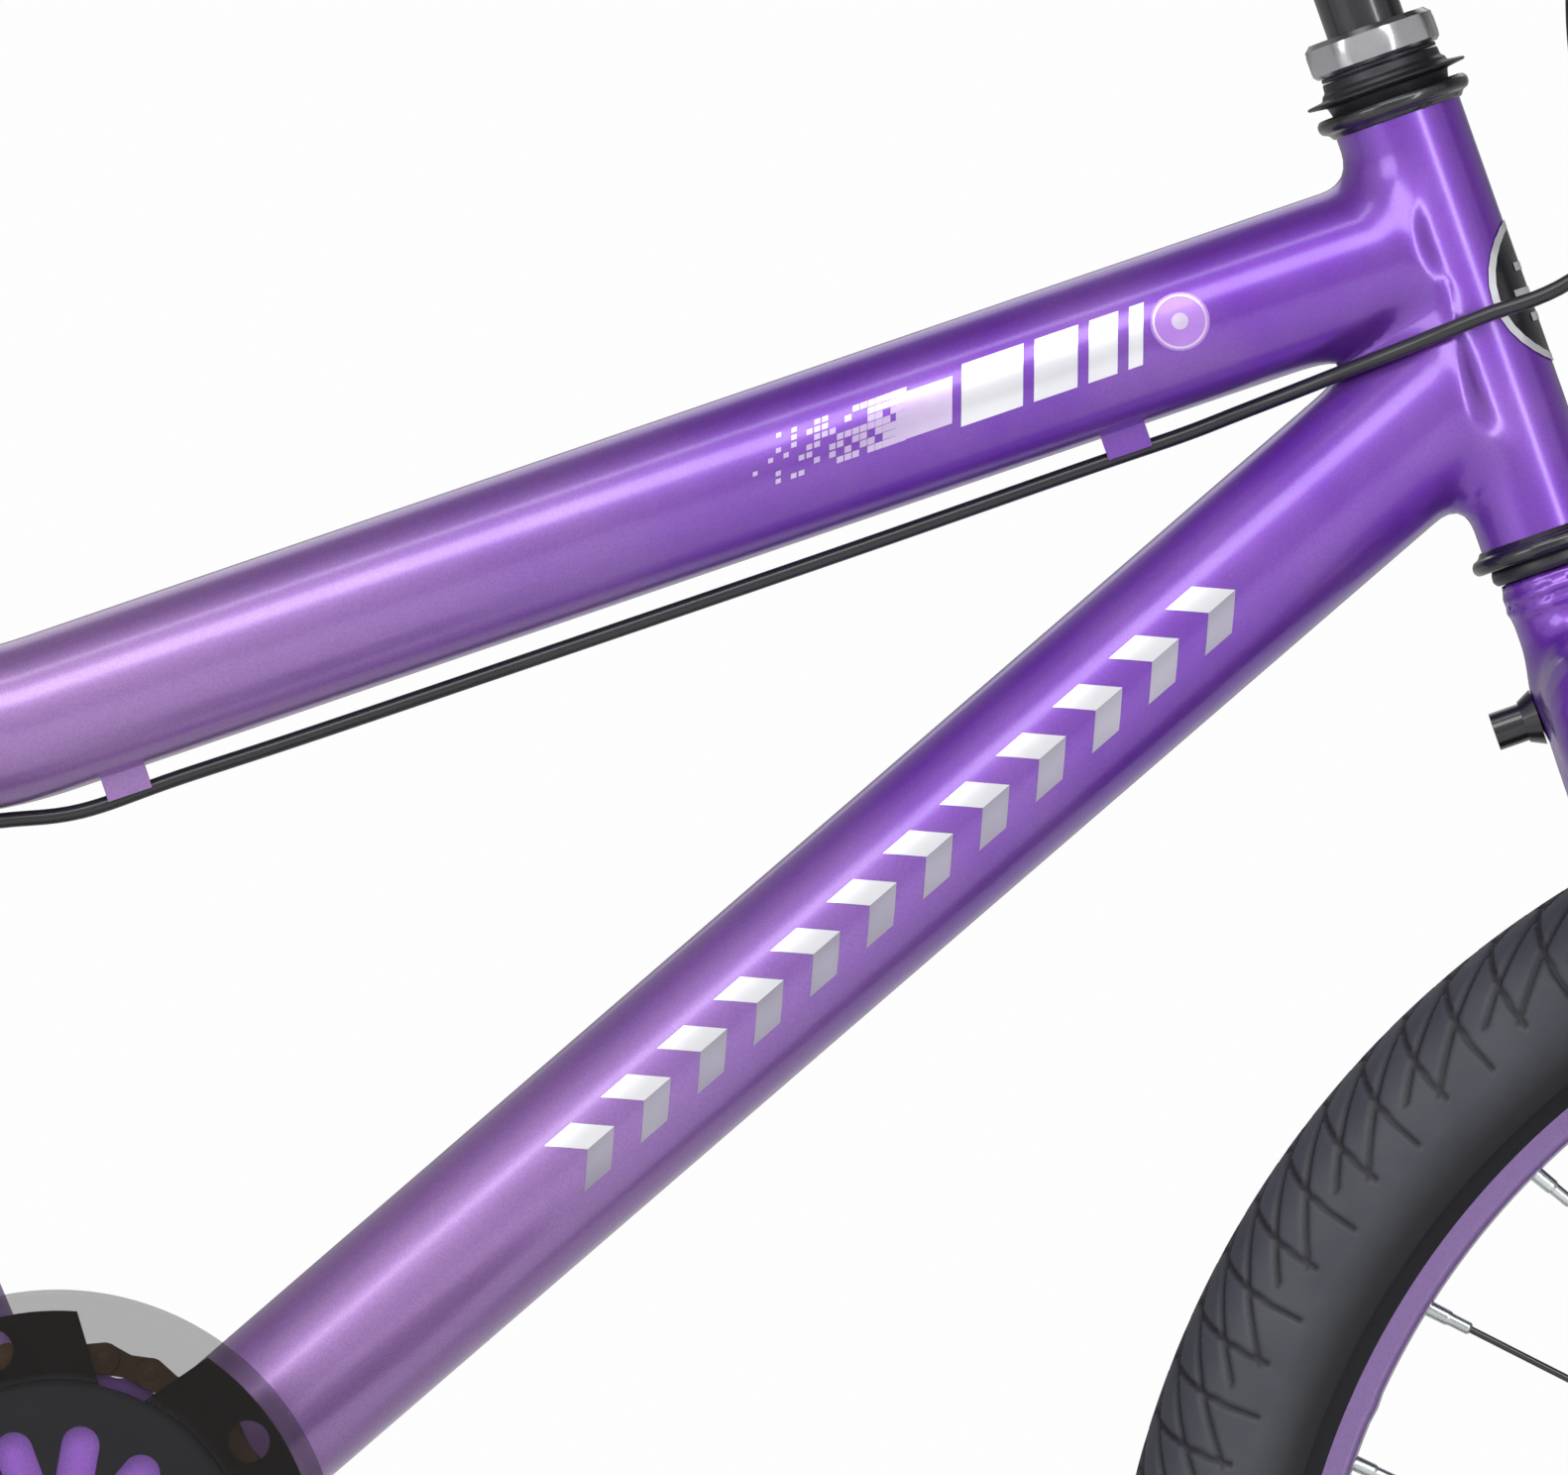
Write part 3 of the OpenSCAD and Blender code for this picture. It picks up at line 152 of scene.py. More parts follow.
def paint(name, deep, pale, way, start, length, rough=(0.3, 0.42), metallic=0.55):
    """Metal flake paint under a clear coat, fading from deep to pale along way; on the chainring and the rims the
    fade is painted shade, darker at the bottom.
    """
    k = Nodes(name)
    dot = k.new("VectorMath", operation="DOT_PRODUCT")
    k.link(k.coords(), dot.inputs[0])
    dot.inputs[1].default_value = way
    t = k.new("MapRange")
    t.inputs["From Min"].default_value = start
    t.inputs["From Max"].default_value = start + length
    k.link(dot.outputs["Value"], t.inputs["Value"])
    fade = k.ramp(t.outputs["Result"], [(0, pale), (1, deep)], "EASE")
    flake = k.new("TexVoronoi")
    flake.inputs["Scale"].default_value = 2600
    k.link(k.coords(), flake.inputs["Vector"])
    glint = k.ramp(flake.outputs["Color"], [(0.2, 0.82), (0.8, 1.12)])
    cloudy = k.mix(k.ramp(k.noise(22, 4), [(0.35, 0.0), (0.7, 0.35)]), fade, pale)
    k.colour(k.mix(0.55, cloudy, glint, "MULTIPLY"))
    k.rough(k.noise(40, 4), *rough)
    k.bump(k.noise(900, 2), 0.05, 0.0004)
    k.put(Metallic=metallic, Coat_Weight=1.0, Coat_Roughness=0.17, Coat_IOR=1.5)
    return k.m


def plain(name, colour, shade, metallic=0.0, rough=(0.3, 0.5), grain=300, bump=0.08, coat=0.0,
          depth=0.0004, **more):
    """One finish with mottled colour, wandering gloss and a fine grain."""
    k = Nodes(name)
    k.colour(k.mix(k.ramp(k.noise(grain / 8, 4), [(0.35, 0.0), (0.7, 1.0)]), colour, shade))
    k.rough(k.noise(grain / 3, 3), *rough)
    k.bump(k.noise(grain, 3), bump, depth)
    k.put(Metallic=metallic, Coat_Weight=coat, Coat_Roughness=0.08, **more)
    return k.m


DEEP, PALE = srgb(106, 38, 172), srgb(148, 110, 172)
FADE = tuple(math.cos(math.radians(35)) * v for v in (1, 0, 0.7))
frame_paint = paint("frame_paint", DEEP, PALE, FADE, 0.22, 0.27)
fork_paint = paint("fork_paint", DEEP, PALE, (0, 0, 1), 0.15, 0.25)
# Painted shade: the rims' colour is a touch darker at the bottom and lighter at the top.
rim_paint = paint("rim_paint", srgb(118, 88, 146), srgb(112, 88, 136), (0, 0, 1), 0.1, 0.4, (0.38, 0.5), 0.35)
# Painted shade and painted highlight: the chainring's colour runs from darker at the bottom to lighter at the top.
ring_paint_and_shade = paint("chainring_paint_and_shade", srgb(150, 96, 196), srgb(128, 70, 180), (0, 0, 1), 0.2, 0.2)
black_gloss = plain("black_gloss", srgb(15, 15, 20), srgb(24, 24, 29), 0.0, (0.22, 0.32), 200, 0.04, 0.6)
black_satin = plain("black_satin", srgb(24, 24, 28), srgb(34, 34, 38), 0.0, (0.35, 0.5), 400, 0.1, 0.2)
black_plastic = plain("black_plastic", srgb(10, 10, 15), srgb(15, 15, 20), 0.0, (0.5, 0.62), 500, 0.08,
                      Specular_IOR_Level=0.3)
nut_chrome = plain("nut_chrome", srgb(205, 205, 208), srgb(170, 170, 175), 1.0, (0.2, 0.34), 150, 0.05)
washer_black = plain("washer_black", srgb(44, 44, 48), srgb(66, 66, 70), 0.6, (0.3, 0.45), 300, 0.08)
steel = plain("steel", srgb(196, 198, 202), srgb(158, 160, 166), 1.0, (0.2, 0.36), 350, 0.06)
nipple_silver = plain("nipple_silver", srgb(214, 220, 218), srgb(176, 182, 180), 1.0, (0.16, 0.3), 500, 0.05)
chain_steel = plain("chain_steel", srgb(128, 98, 74), srgb(74, 60, 50), 0.85, (0.3, 0.5), 260, 0.1)
jacket = plain("cable_jacket", srgb(24, 24, 27), srgb(31, 31, 34), 0.0, (0.26, 0.36), 300, 0.03, 0.25)
vinyl = plain("saddle_vinyl", srgb(22, 22, 25), srgb(32, 32, 36), 0.0, (0.42, 0.58), 1100, 0.3, depth=0.0005)
rubber = plain("grip_rubber", srgb(30, 30, 32), srgb(40, 40, 42), 0.0, (0.62, 0.8), 900, 0.25)
foil = plain("foil", srgb(240, 240, 243), srgb(222, 222, 228), 0.7, (0.24, 0.36), 90, 0.03, 0.5)
# The silver foil darkened as painted shade, for the chevrons on the lower half of the down tube.
foil_in_painted_shade = plain("foil_in_painted_shade", srgb(176, 172, 186), srgb(146, 142, 158), 0.7, (0.28, 0.4), 120, 0.03, 0.5)
pale_foil = plain("pale_foil", srgb(186, 164, 206), srgb(214, 200, 226), 0.5, (0.25, 0.4), 200, 0.04, 0.4)
lilac = plain("lilac", srgb(176, 132, 214), srgb(160, 112, 202), 0.2, (0.3, 0.4), 200, 0.03, 0.5)


def tyre_material():
    k = Nodes("tyre_rubber")
    # Painted shade in the grooves: the groove depth darkens the rubber to near black.
    groove = k.new("Attribute", attribute_name="groove").outputs["Fac"]
    # Painted shade: the sidewall where it curves in under its bulge to the rim, and the inside of the tyre, go near
    # black.
    rim_shade = k.new("Attribute", attribute_name="rim_shade").outputs["Fac"]
    dust = k.ramp(k.noise(45, 5), [(0.35, 0.0), (0.75, 1.0)])
    flat = k.mix(dust, srgb(46, 48, 56), srgb(58, 60, 67))
    k.colour(k.mix(rim_shade, k.mix(groove, flat, srgb(18, 18, 24)), srgb(17, 17, 22)))
    k.rough(k.noise(120, 4), 0.52, 0.7)
    k.bump(k.noise(1400, 2), 0.12, 0.0003)
    return k.m


def smoked_material():
    k = Nodes("smoked_clear")
    tint = k.mix(k.noise(12, 3), srgb(26, 22, 18), srgb(19, 16, 13))
    k.colour(tint)
    k.rough(k.noise(60, 3), 0.06, 0.16)
    k.bump(k.noise(500, 2), 0.02, 0.0003)
    k.put(Alpha=0.36, Coat_Weight=0.15, Coat_Roughness=0.08, Specular_IOR_Level=0.3)
    return k.m


tyre_rubber = tyre_material()
smoked = smoked_material()


# ---- mesh helpers ----
def piece(name, verts, faces, material, body, *stands_for, slot=None, sharp=35, ride=True, normals=None):
    me = bpy.data.meshes.new(name)
    me.from_pydata([tuple(map(float, v)) for v in verts], [], [tuple(map(int, f)) for f in faces])
    me.validate()
    me.update()
    o = bpy.data.objects.new(name, me)
    bpy.context.scene.collection.objects.link(o)
    me.polygons.foreach_set("use_smooth", [True] * len(me.polygons))
    if sharp < 180:
        me.set_sharp_from_angle(angle=math.radians(sharp))
    if normals is not None:
        me.normals_split_custom_set_from_vertices(normals.tolist())
    me.materials.append(material)
    if ride:
        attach(o, body)
    if stands_for:
        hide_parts(*stands_for)
    return o


def join(parts):
    """Several (verts, faces) as one."""
    verts, faces, n = [], [], 0
    for v, f in parts:
        verts.append(np.asarray(v, float))
        faces += [tuple(i + n for i in q) for q in f]
        n += len(v)
    return np.concatenate(verts), faces


def soften(p, r, n=3, closed=True):
    """A profile with each corner cut to a small curve."""
    p = [np.array(q, float) for q in p]
    out = []
    last = len(p) - 1
    for i, q in enumerate(p):
        if not closed and i in (0, last):
            out.append(q)
            continue
        a, b = p[i - 1] - q, p[(i + 1) % len(p)] - q
        la, lb = np.linalg.norm(a), np.linalg.norm(b)
        ra = min(r, 0.45 * la, 0.45 * lb)
        s, e = q + a / la * ra, q + b / lb * ra
        for k in range(n + 1):
            t = k / n
            out.append((1 - t) ** 2 * s + 2 * t * (1 - t) * q + t * t * e)
    return out


def basis(axis):
    z = np.array(axis, float) / np.linalg.norm(axis)
    x = np.cross([0, 1, 0], z) if abs(z[1]) < 0.9 else np.cross([0, 0, 1], z)
    x /= np.linalg.norm(x)
    return x, np.cross(z, x), z


def turn(profile, origin, axis, n=64, closed=True):
    """A profile of (radius, height) turned about an axis. Ends at radius 0 are closed."""
    x, y, z = basis(axis)
    m = len(profile)
    a = np.arange(n) * 2 * np.pi / n
    ring = np.cos(a)[:, None] * x + np.sin(a)[:, None] * y
    verts = np.concatenate([origin + r * ring + h * z for r, h in profile])
    faces = []
    for i in range(m if closed else m - 1):
        j = (i + 1) % m
        for k in range(n):
            q = (k + 1) % n
            faces.append((i * n + k, i * n + q, j * n + q, j * n + k))
    if not closed:
        faces.append(tuple(range(n - 1, -1, -1)))
        faces.append(tuple((m - 1) * n + k for k in range(n)))
    return verts, faces


def catmull(p, step=0.004):
    """A smooth line through given points."""
    p = np.array(p, float)
    out = []
    for i in range(len(p) - 1):
        a, b, c, d = p[max(i - 1, 0)], p[i], p[i + 1], p[min(i + 2, len(p) - 1)]
        n = max(2, int(np.linalg.norm(c - b) / step))
        for k in range(n):
            t = k / n
            out.append(0.5 * (2 * b + (c - a) * t + (2 * a - 5 * b + 4 * c - d) * t * t
                              + (3 * b - a - 3 * c + d) * t ** 3))
    out.append(p[-1])
    return np.array(out)


def rounded(p, r, n=10):
    """A line whose corners are bent to radius r."""
    p = [np.array(q, float) for q in p]
    out = [p[0]]
    for i in range(1, len(p) - 1):
        a, b = p[i - 1] - p[i], p[i + 1] - p[i]
        a, b = a / np.linalg.norm(a), b / np.linalg.norm(b)
        half = math.acos(np.clip(a @ b, -1, 1)) / 2
        mid = p[i] + (a + b) / np.linalg.norm(a + b) * r / math.sin(half)
        u = p[i] + a * r / math.tan(half) - mid
        u /= np.linalg.norm(u)
        for k in range(n + 1):
            w = (math.pi - 2 * half) * k / n
            out.append(mid + r * (u * math.cos(w) - a * math.sin(w)))
    out.append(p[-1])
    return np.array(out)


def pipe(line, radius, sides=16, flat=1.0, cap=True):
    """A round bar along a line; radius is a number or one for each point."""
    line = np.asarray(line, float)
    n = len(line)
    r = np.broadcast_to(np.asarray(radius, float), (n,))
    t = np.gradient(line, axis=0)
    t /= np.linalg.norm(t, axis=1)[:, None]
    v = np.cross(t[0], [0, 0, 1.0]) if abs(t[0][2]) < 0.9 else np.cross(t[0], [0, 1.0, 0])
    v /= np.linalg.norm(v)
    verts = []
    for i in range(n):
        v = v - (v @ t[i]) * t[i]
        v /= np.linalg.norm(v)
        w = np.cross(t[i], v)
        for k in range(sides):
            a = 2 * math.pi * k / sides
            verts.append(line[i] + r[i] * (math.cos(a) * v + flat * math.sin(a) * w))
    faces = []
    for i in range(n - 1):
        for k in range(sides):
            q = (k + 1) % sides
            faces.append((i * sides + k, i * sides + q, (i + 1) * sides + q, (i + 1) * sides + k))
    if cap:
        faces.append(tuple(range(sides - 1, -1, -1)))
        faces.append(tuple((n - 1) * sides + k for k in range(sides)))
    return np.array(verts), faces


def slab(outline, low, high, bevel=0.0006):
    """A flat plate from a 2-D outline, its edges bevelled; heights run along z."""
    o = np.array(outline, float)
    n = len(o)
    nxt, prv = np.roll(o, -1, 0), np.roll(o, 1, 0)
    d = nxt - prv
    d /= np.linalg.norm(d, axis=1)[:, None]
    inwards = np.stack([-d[:, 1], d[:, 0]], 1) * bevel
    rings = [(o + inwards, low), (o, low + bevel), (o, high - bevel), (o + inwards, high)]
    verts = np.concatenate([np.column_stack([q, np.full(n, h)]) for q, h in rings])
    faces = [(i * n + k, i * n + (k + 1) % n, (i + 1) * n + (k + 1) % n, (i + 1) * n + k)
             for i in range(3) for k in range(n)]
    faces.append(tuple(range(n - 1, -1, -1)))
    faces.append(tuple(3 * n + k for k in range(n)))
    return verts, faces


def place(part, origin, x, y, z):
    v, f = part
    m = np.array([x, y, z])
    return np.asarray(v) @ m + origin, f


# ---- welded tubes, as one smooth skin ----
def smin(a, b, k):
    h = np.maximum(k - np.abs(a - b), 0) / k
    return np.minimum(a, b) - h * h * k / 4


def smax(a, b, k):
    return -smin(-a, -b, k)


def bar_field(a, b, ra, rb=None, edge=0.001):
    """Distance to a bar with flat ends from a to b."""
    a, b = np.array(a, float), np.array(b, float)
    rb = ra if rb is None else rb
    l = np.linalg.norm(b - a)
    u = (b - a) / l

    def field(p):
        h = (p - a) @ u
        r = np.linalg.norm(p - a - h[:, None] * u, axis=1)
        return smax(r - (ra + (rb - ra) * np.clip(h / l, 0, 1)), np.maximum(-h, h - l), edge)

    reach = max(ra, rb) + 0.012
    return field, np.minimum(a, b) - reach, np.maximum(a, b) + reach


def line_field(line, radius):
    """Distance to a round bar along a line."""
    line = np.array(line, float)
    r = np.broadcast_to(np.asarray(radius, float), (len(line),))

    def field(p):
        best = np.full(len(p), 1e3)
        for a, b, ra, rb in zip(line[:-1], line[1:], r[:-1], r[1:]):
            d = b - a
            t = np.clip(((p - a) @ d) / (d @ d), 0, 1)
            best = np.minimum(best, np.linalg.norm(p - a - t[:, None] * d, axis=1) - ra - (rb - ra) * t)
        return best

    reach = r.max() + 0.012
    return field, line.min(0) - reach, line.max(0) + reach


def skin(groups, cuts, cell):
    """The surface of welded bars. groups are (fillet, [fields]); cuts are taken away."""
    every = [f for _, fs in groups for f in fs]
    low = np.min([f[1] for f in every], 0)
    high = np.max([f[2] for f in every], 0)
    size = np.ceil((high - low) / cell).astype(int) + 1

    def distance(p, boxed=False):
        total = np.full(len(p), 0.05)
        for fillet, fields in groups:
            for f, a, b in fields:
                if boxed:
                    inside = np.all((p > a) & (p < b), axis=1)
                    if inside.any():
                        total[inside] = smin(total[inside], f(p[inside]), fillet)
                else:
                    total = smin(total, f(p), fillet)
        for f, a, b in cuts:
            total = smax(total, -f(p), 0.0008)
        return total

    xs = [low[i] + cell * np.arange(size[i]) for i in range(3)]
    grid = np.full(size, 0.05, np.float32)
    for i in range(0, size[0], 24):
        block = np.stack(np.meshgrid(xs[0][i:i + 24], xs[1], xs[2], indexing="ij"), -1)
        grid[i:i + 24] = distance(block.reshape(-1, 3), True).reshape(block.shape[:3])
    inside = grid < 0
    total = np.zeros(np.array(size) - 1, int)
    for dx in (0, 1):
        for dy in (0, 1):
            for dz in (0, 1):
                total += inside[dx:size[0] - 1 + dx, dy:size[1] - 1 + dy, dz:size[2] - 1 + dz]
    cells = (total > 0) & (total < 8)
    index = np.full(cells.shape, -1, int)
    index[cells] = np.arange(cells.sum())
    verts = low + (np.argwhere(cells) + 0.5) * cell
    faces = []
    for axis in range(3):
        u, v = [(1, 2), (2, 0), (0, 1)][axis]
        a = np.take(inside, range(size[axis] - 1), axis)
        b = np.take(inside, range(1, size[axis]), axis)
        for edge in np.argwhere(a != b):
            if edge[u] == 0 or edge[v] == 0 or edge[u] > size[u] - 2 or edge[v] > size[v] - 2:
                continue
            corner = []
            for du, dv in ((1, 1), (0, 1), (0, 0), (1, 0)):
                c = edge.copy()
                c[u] -= du
                c[v] -= dv
                corner.append(index[tuple(c)])
            if min(corner) < 0:
                continue
            faces.append(corner if a[tuple(edge)] else corner[::-1])
    step = 2e-5
    for _ in range(5):
        d = distance(verts)
        g = np.stack([distance(verts + step * e) - distance(verts - step * e) for e in np.eye(3)], 1)
        g /= 2 * step
        verts = verts - (d / np.maximum((g * g).sum(1), 0.3))[:, None] * g
    return verts, faces, g / np.linalg.norm(g, axis=1)[:, None]


# ---- camera, lights and floor ----
scene = bpy.context.scene
scene.view_settings.view_transform = "Standard"
cam = bpy.data.cameras.new("camera")
camera = bpy.data.objects.new("camera", cam)
scene.collection.objects.link(camera)
DISTANCE = 9.0
VIEW_W = 0.4088
cam.lens = 36 * DISTANCE / VIEW_W
camera.location = (0.1123, -DISTANCE, 0.5093)
camera.rotation_euler = (math.pi / 2, 0, 0)
cam.clip_end = 100
scene.camera = camera


def light(name, at, target, size, energy):
    d = bpy.data.lights.new(name, "AREA")
    d.shape = "RECTANGLE"
    d.size, d.size_y = size
    d.energy = energy
    o = bpy.data.objects.new(name, d)
    scene.collection.objects.link(o)
    at, target = np.array(at, float), np.array(target, float)
    o.location = at
    o.rotation_euler = Vector(target - at).to_track_quat("-Z", "Y").to_euler()


MIDDLE = (0.1, 0, 0.5)
light("key", (0.1, -2.3, 2.1), MIDDLE, (3.0, 0.9), 37)
light("line", (0.1, -1.1, 2.75), MIDDLE, (3.0, 0.22), 9)
light("strip", (1.55, -1.75, 0.95), (0.3, 0, 0.6), (0.28, 1.7), 12)
light("fill", (-1.6, -2.0, 0.9), MIDDLE, (1.2, 1.2), 14)
light("back", (0.2, 2.2, 2.2), MIDDLE, (2.6, 1.6), 10)

world = bpy.data.worlds.new("studio")
scene.world = world
world.use_nodes = True
wt = world.node_tree
back = wt.nodes["Background"]
back.inputs["Color"].default_value = (1, 1, 1, 1)
path = wt.nodes.new("ShaderNodeLightPath")
# The room's brightness round the bike's long axis: front 0.5, overhead 0.75, behind 0 and 1
way = wt.nodes.new("ShaderNodeTexCoord")
split = wt.nodes.new("ShaderNodeSeparateXYZ")
wt.links.new(way.outputs["Generated"], split.inputs[0])
flip = wt.nodes.new("ShaderNodeMath")
flip.operation = "MULTIPLY"
flip.inputs[1].default_value = -1
wt.links.new(split.outputs["Y"], flip.inputs[0])
turned = wt.nodes.new("ShaderNodeMath")
turned.operation = "ARCTAN2"
wt.links.new(split.outputs["Z"], turned.inputs[0])
wt.links.new(flip.outputs[0], turned.inputs[1])
share = wt.nodes.new("ShaderNodeMapRange")
share.inputs["From Min"].default_value = -math.pi
share.inputs["From Max"].default_value = math.pi
wt.links.new(turned.outputs[0], share.inputs["Value"])
room = wt.nodes.new("ShaderNodeValToRGB")
stops = [(-180, 0.3), (-152, 0.22), (-135, 0.1), (-100, 0.2), (-62, 0.38), (-25, 0.62), (20, 0.7),
         (62, 0.66), (82, 0.28), (98, 0.05), (112, 0.12), (136, 0.25), (180, 0.3)]
marks = room.color_ramp.elements
while len(marks) < len(stops):
    marks.new(0.5)
for mark, (angle, value) in zip(marks, stops):
    mark.position = (angle + 180) / 360
    mark.color = (value, value, value, 1)
wt.links.new(share.outputs["Result"], room.inputs["Fac"])
level = wt.nodes.new("ShaderNodeMix")
wt.links.new(path.outputs["Is Camera Ray"], level.inputs[0])
wt.links.new(room.outputs["Color"], level.inputs[2])
level.inputs[3].default_value = 0.985
wt.links.new(level.outputs[0], back.inputs["Strength"])

floor_mesh = bpy.data.meshes.new("floor")
W = 5.5
floor_mesh.from_pydata([(-W, -W, -0.001), (W, -W, -0.001), (W, W, -0.001), (-W, W, -0.001)], [], [(0, 1, 2, 3)])
floor = bpy.data.objects.new("floor", floor_mesh)
scene.collection.objects.link(floor)
floor_mesh.materials.append(plain("floor_pale", srgb(250, 250, 250), srgb(247, 247, 248), 0, (0.6, 0.7), 3, 0.01))

# ---- frame ----
tube_front = steer(0, HEAD_TOP - 0.033)
SLOPE = math.radians(18.86)
top_way = np.array([-math.cos(SLOPE), 0, -math.sin(SLOPE)])
tube_bend = tube_front + 0.399 * top_way
TAIL = math.radians(4)
tail_way = np.array([-math.cos(TAIL), 0, -math.sin(TAIL)])
across = (SEAT_UP[2] * (BB[0] - tube_bend[0]) - SEAT_UP[0] * (BB[2] - tube_bend[2])) / (
    SEAT_UP[2] * tail_way[0] - SEAT_UP[0] * tail_way[2])
tube_tail = tube_bend + across * tail_way
down_front = steer(0, HEAD_LOW + 0.0456)
down_back = BB - np.array([0, 0, 0.007])


def behind_head(field, x):
    """Keeps only what lies behind a plane along the head tube."""
    f, a, b = field

    def cut(p):
        return smax(f(p), (p - FOOT) @ FWD - x, 0.005)

    return cut, a, b


def frame_skin():
    top = behind_head(line_field(rounded([tube_front, tube_bend, tube_tail], 0.12, 8), 0.021), -0.006)
    down = behind_head(bar_field(down_back, down_front, 0.0225), -0.006)
    head = bar_field(steer(0, HEAD_LOW - 0.0025), steer(0, HEAD_TOP + 0.0025), 0.017)
    seat = bar_field(BB, BB + 0.262 * SEAT_UP, 0.0143)
    shell = bar_field(BB - 0.034 * LEFT, BB + 0.034 * LEFT, 0.029)
    verts, faces, normals = skin([(0.009, [head, top, down]), (0.006, [seat, shell])], [], 0.0021)
    return piece("frame_tubes", verts, faces, frame_paint, "frame", "head_tube", "top_tube", "down_tube",
                 "seat_tube", "bottom_bracket_shell", slot="violet_paint", sharp=180, normals=normals)


frame_skin()


# ---- foil marks on the tubes: plain geometric figures ----
def wrapped(name, figures, start, way, radius, face, material, body, thick=0.00012):
    """Flat figures laid on a tube. Each is a quad of (along, around) corners in millimetres,
    counted from start along way, and from the line that faces the side called face."""
    way = np.array(way, float) / np.linalg.norm(way)
    face = np.array(face, float)
    face -= (face @ way) * way
    face /= np.linalg.norm(face)
    up = np.cross(way, face)
    up *= 1 if up[2] >= 0 else -1
    verts, faces = [], []
    for quad in figures:
        a, b, c, d = [np.array(q, float) / 1000 for q in quad]
        long = max(np.linalg.norm(b - a), np.linalg.norm(c - d))
        wide = max(np.linalg.norm(d - a), np.linalg.norm(c - b))
        m, n = max(1, int(long / 0.0022)), max(1, int(wide / 0.0011))
        base = len(verts)
        for i in range(m + 1):
            for j in range(n + 1):
                u, v = i / m, j / n
                q = (1 - u) * (1 - v) * a + u * (1 - v) * b + u * v * c + (1 - u) * v * d
                turn_by = q[1] / radius
                verts.append(start + q[0] * way
                             + (radius + thick) * (math.cos(turn_by) * face + math.sin(turn_by) * up))
        faces += [(base + i * (n + 1) + j, base + (i + 1) * (n + 1) + j,
                   base + (i + 1) * (n + 1) + j + 1, base + i * (n + 1) + j + 1)
                  for i in range(m) for j in range(n)]
    return piece(name, verts, faces, material, body, slot="bright_steel", sharp=180)


def fan(centre, r0, r1, n=28, squeeze=1.0):
    """A ring as quads, in (along, around)."""
    out = []
    for i in range(n):
        a, b = 2 * math.pi * i / n, 2 * math.pi * (i + 1) / n
        out.append([(centre[0] + r * math.cos(t) * squeeze, centre[1] + r * math.sin(t))
                    for r, t in ((r0, a), (r1, a), (r1, b), (r0, b))])
    return out


def bar(s0, s1, low, high, lean=0.35):
    """A slanted bar between two heights."""
    return [(s0 + lean * low, low), (s1 + lean * low, low), (s1 + lean * high, high), (s0 + lean * high, high)]


def top_tube_marks():
    rng = np.random.default_rng(4)
    way = -top_way
    solid = [bar(s, s + width, -6.5, 9.2) for s, width in ((-132, 17), (-112, 12), (-97, 8), (-86, 4))]
    tail = [bar(-150, -134.5, -4.8, 7.0)]
    for s in np.arange(-204, -149, 2.1):
        share = (s + 206) / 57
        for t in np.arange(-5, 7, 1.9):
            if rng.random() < share ** 1.3:
                size = 0.9 + 1.3 * share
                tail.append(bar(s, s + size, t, t + size * 0.85))
    wrapped("top_tube_bars", solid, tube_front, way, 0.021, (0, -1, 0), foil, "frame")
    wrapped("top_tube_flecks", tail, tube_front, way, 0.021, (0, -1, 0), pale_foil, "frame")
    disc = fan((-71.5, 1.2), 0.01, 7.8)
    wrapped("top_tube_disc", disc, tube_front, way, 0.021, (0, -1, 0), lilac, "frame")
    rim_marks = fan((-71.5, 1.2), 6.6, 7.2) + fan((-71.5, 1.2), 0.01, 2.2)
    wrapped("top_tube_ring", rim_marks, tube_front, way, 0.021, (0, -1, 0), pale_foil, "frame", 0.0002)


def down_tube_marks():
    """A row of chevrons of one silver foil: silver above the tube's side line, and below it a grey copy of the foil
    as painted shade.
    """
    low, middle, high, cell, width, reach = -9.6, -1.5, 6.6, 19.4, 9.2, 8.0
    upper, lower = [], []
    for i in range(12):
        s = 172 + i * cell
        upper.append([(s + reach, middle), (s + reach + width, middle), (s + width, high), (s, high)])
        lower.append([(s, low), (s + width, low), (s + reach + width, middle), (s + reach, middle)])
    way = down_front - down_back
    wrapped("down_tube_upper_marks", upper, down_back, way, 0.0225, (0, -1, 0), foil, "frame")
    # The chevrons below the side line take the darker foil as painted shade.
    wrapped("down_tube_lower_marks", lower, down_back, way, 0.0225, (0, -1, 0), foil_in_painted_shade, "frame")


def head_badge():
    base, way = steer(0, 0.3985), UP
    wrapped("badge_rim", fan((0, 0), 17.4, 19.6), base, way, 0.017, FWD, foil, "frame", 0.0004)
    wrapped("badge_field", fan((0, 0), 0.01, 17.5), base, way, 0.017, FWD, black_gloss, "frame", 0.0003)
    lines = [[(s, -w), (s + 2.2, -w), (s + 2.2, w), (s, w)] for s, w in ((-8, 8), (-1.1, 12), (5.8, 8))]
    wrapped("badge_lines", lines, base, way, 0.017, FWD, foil, "frame", 0.0005)


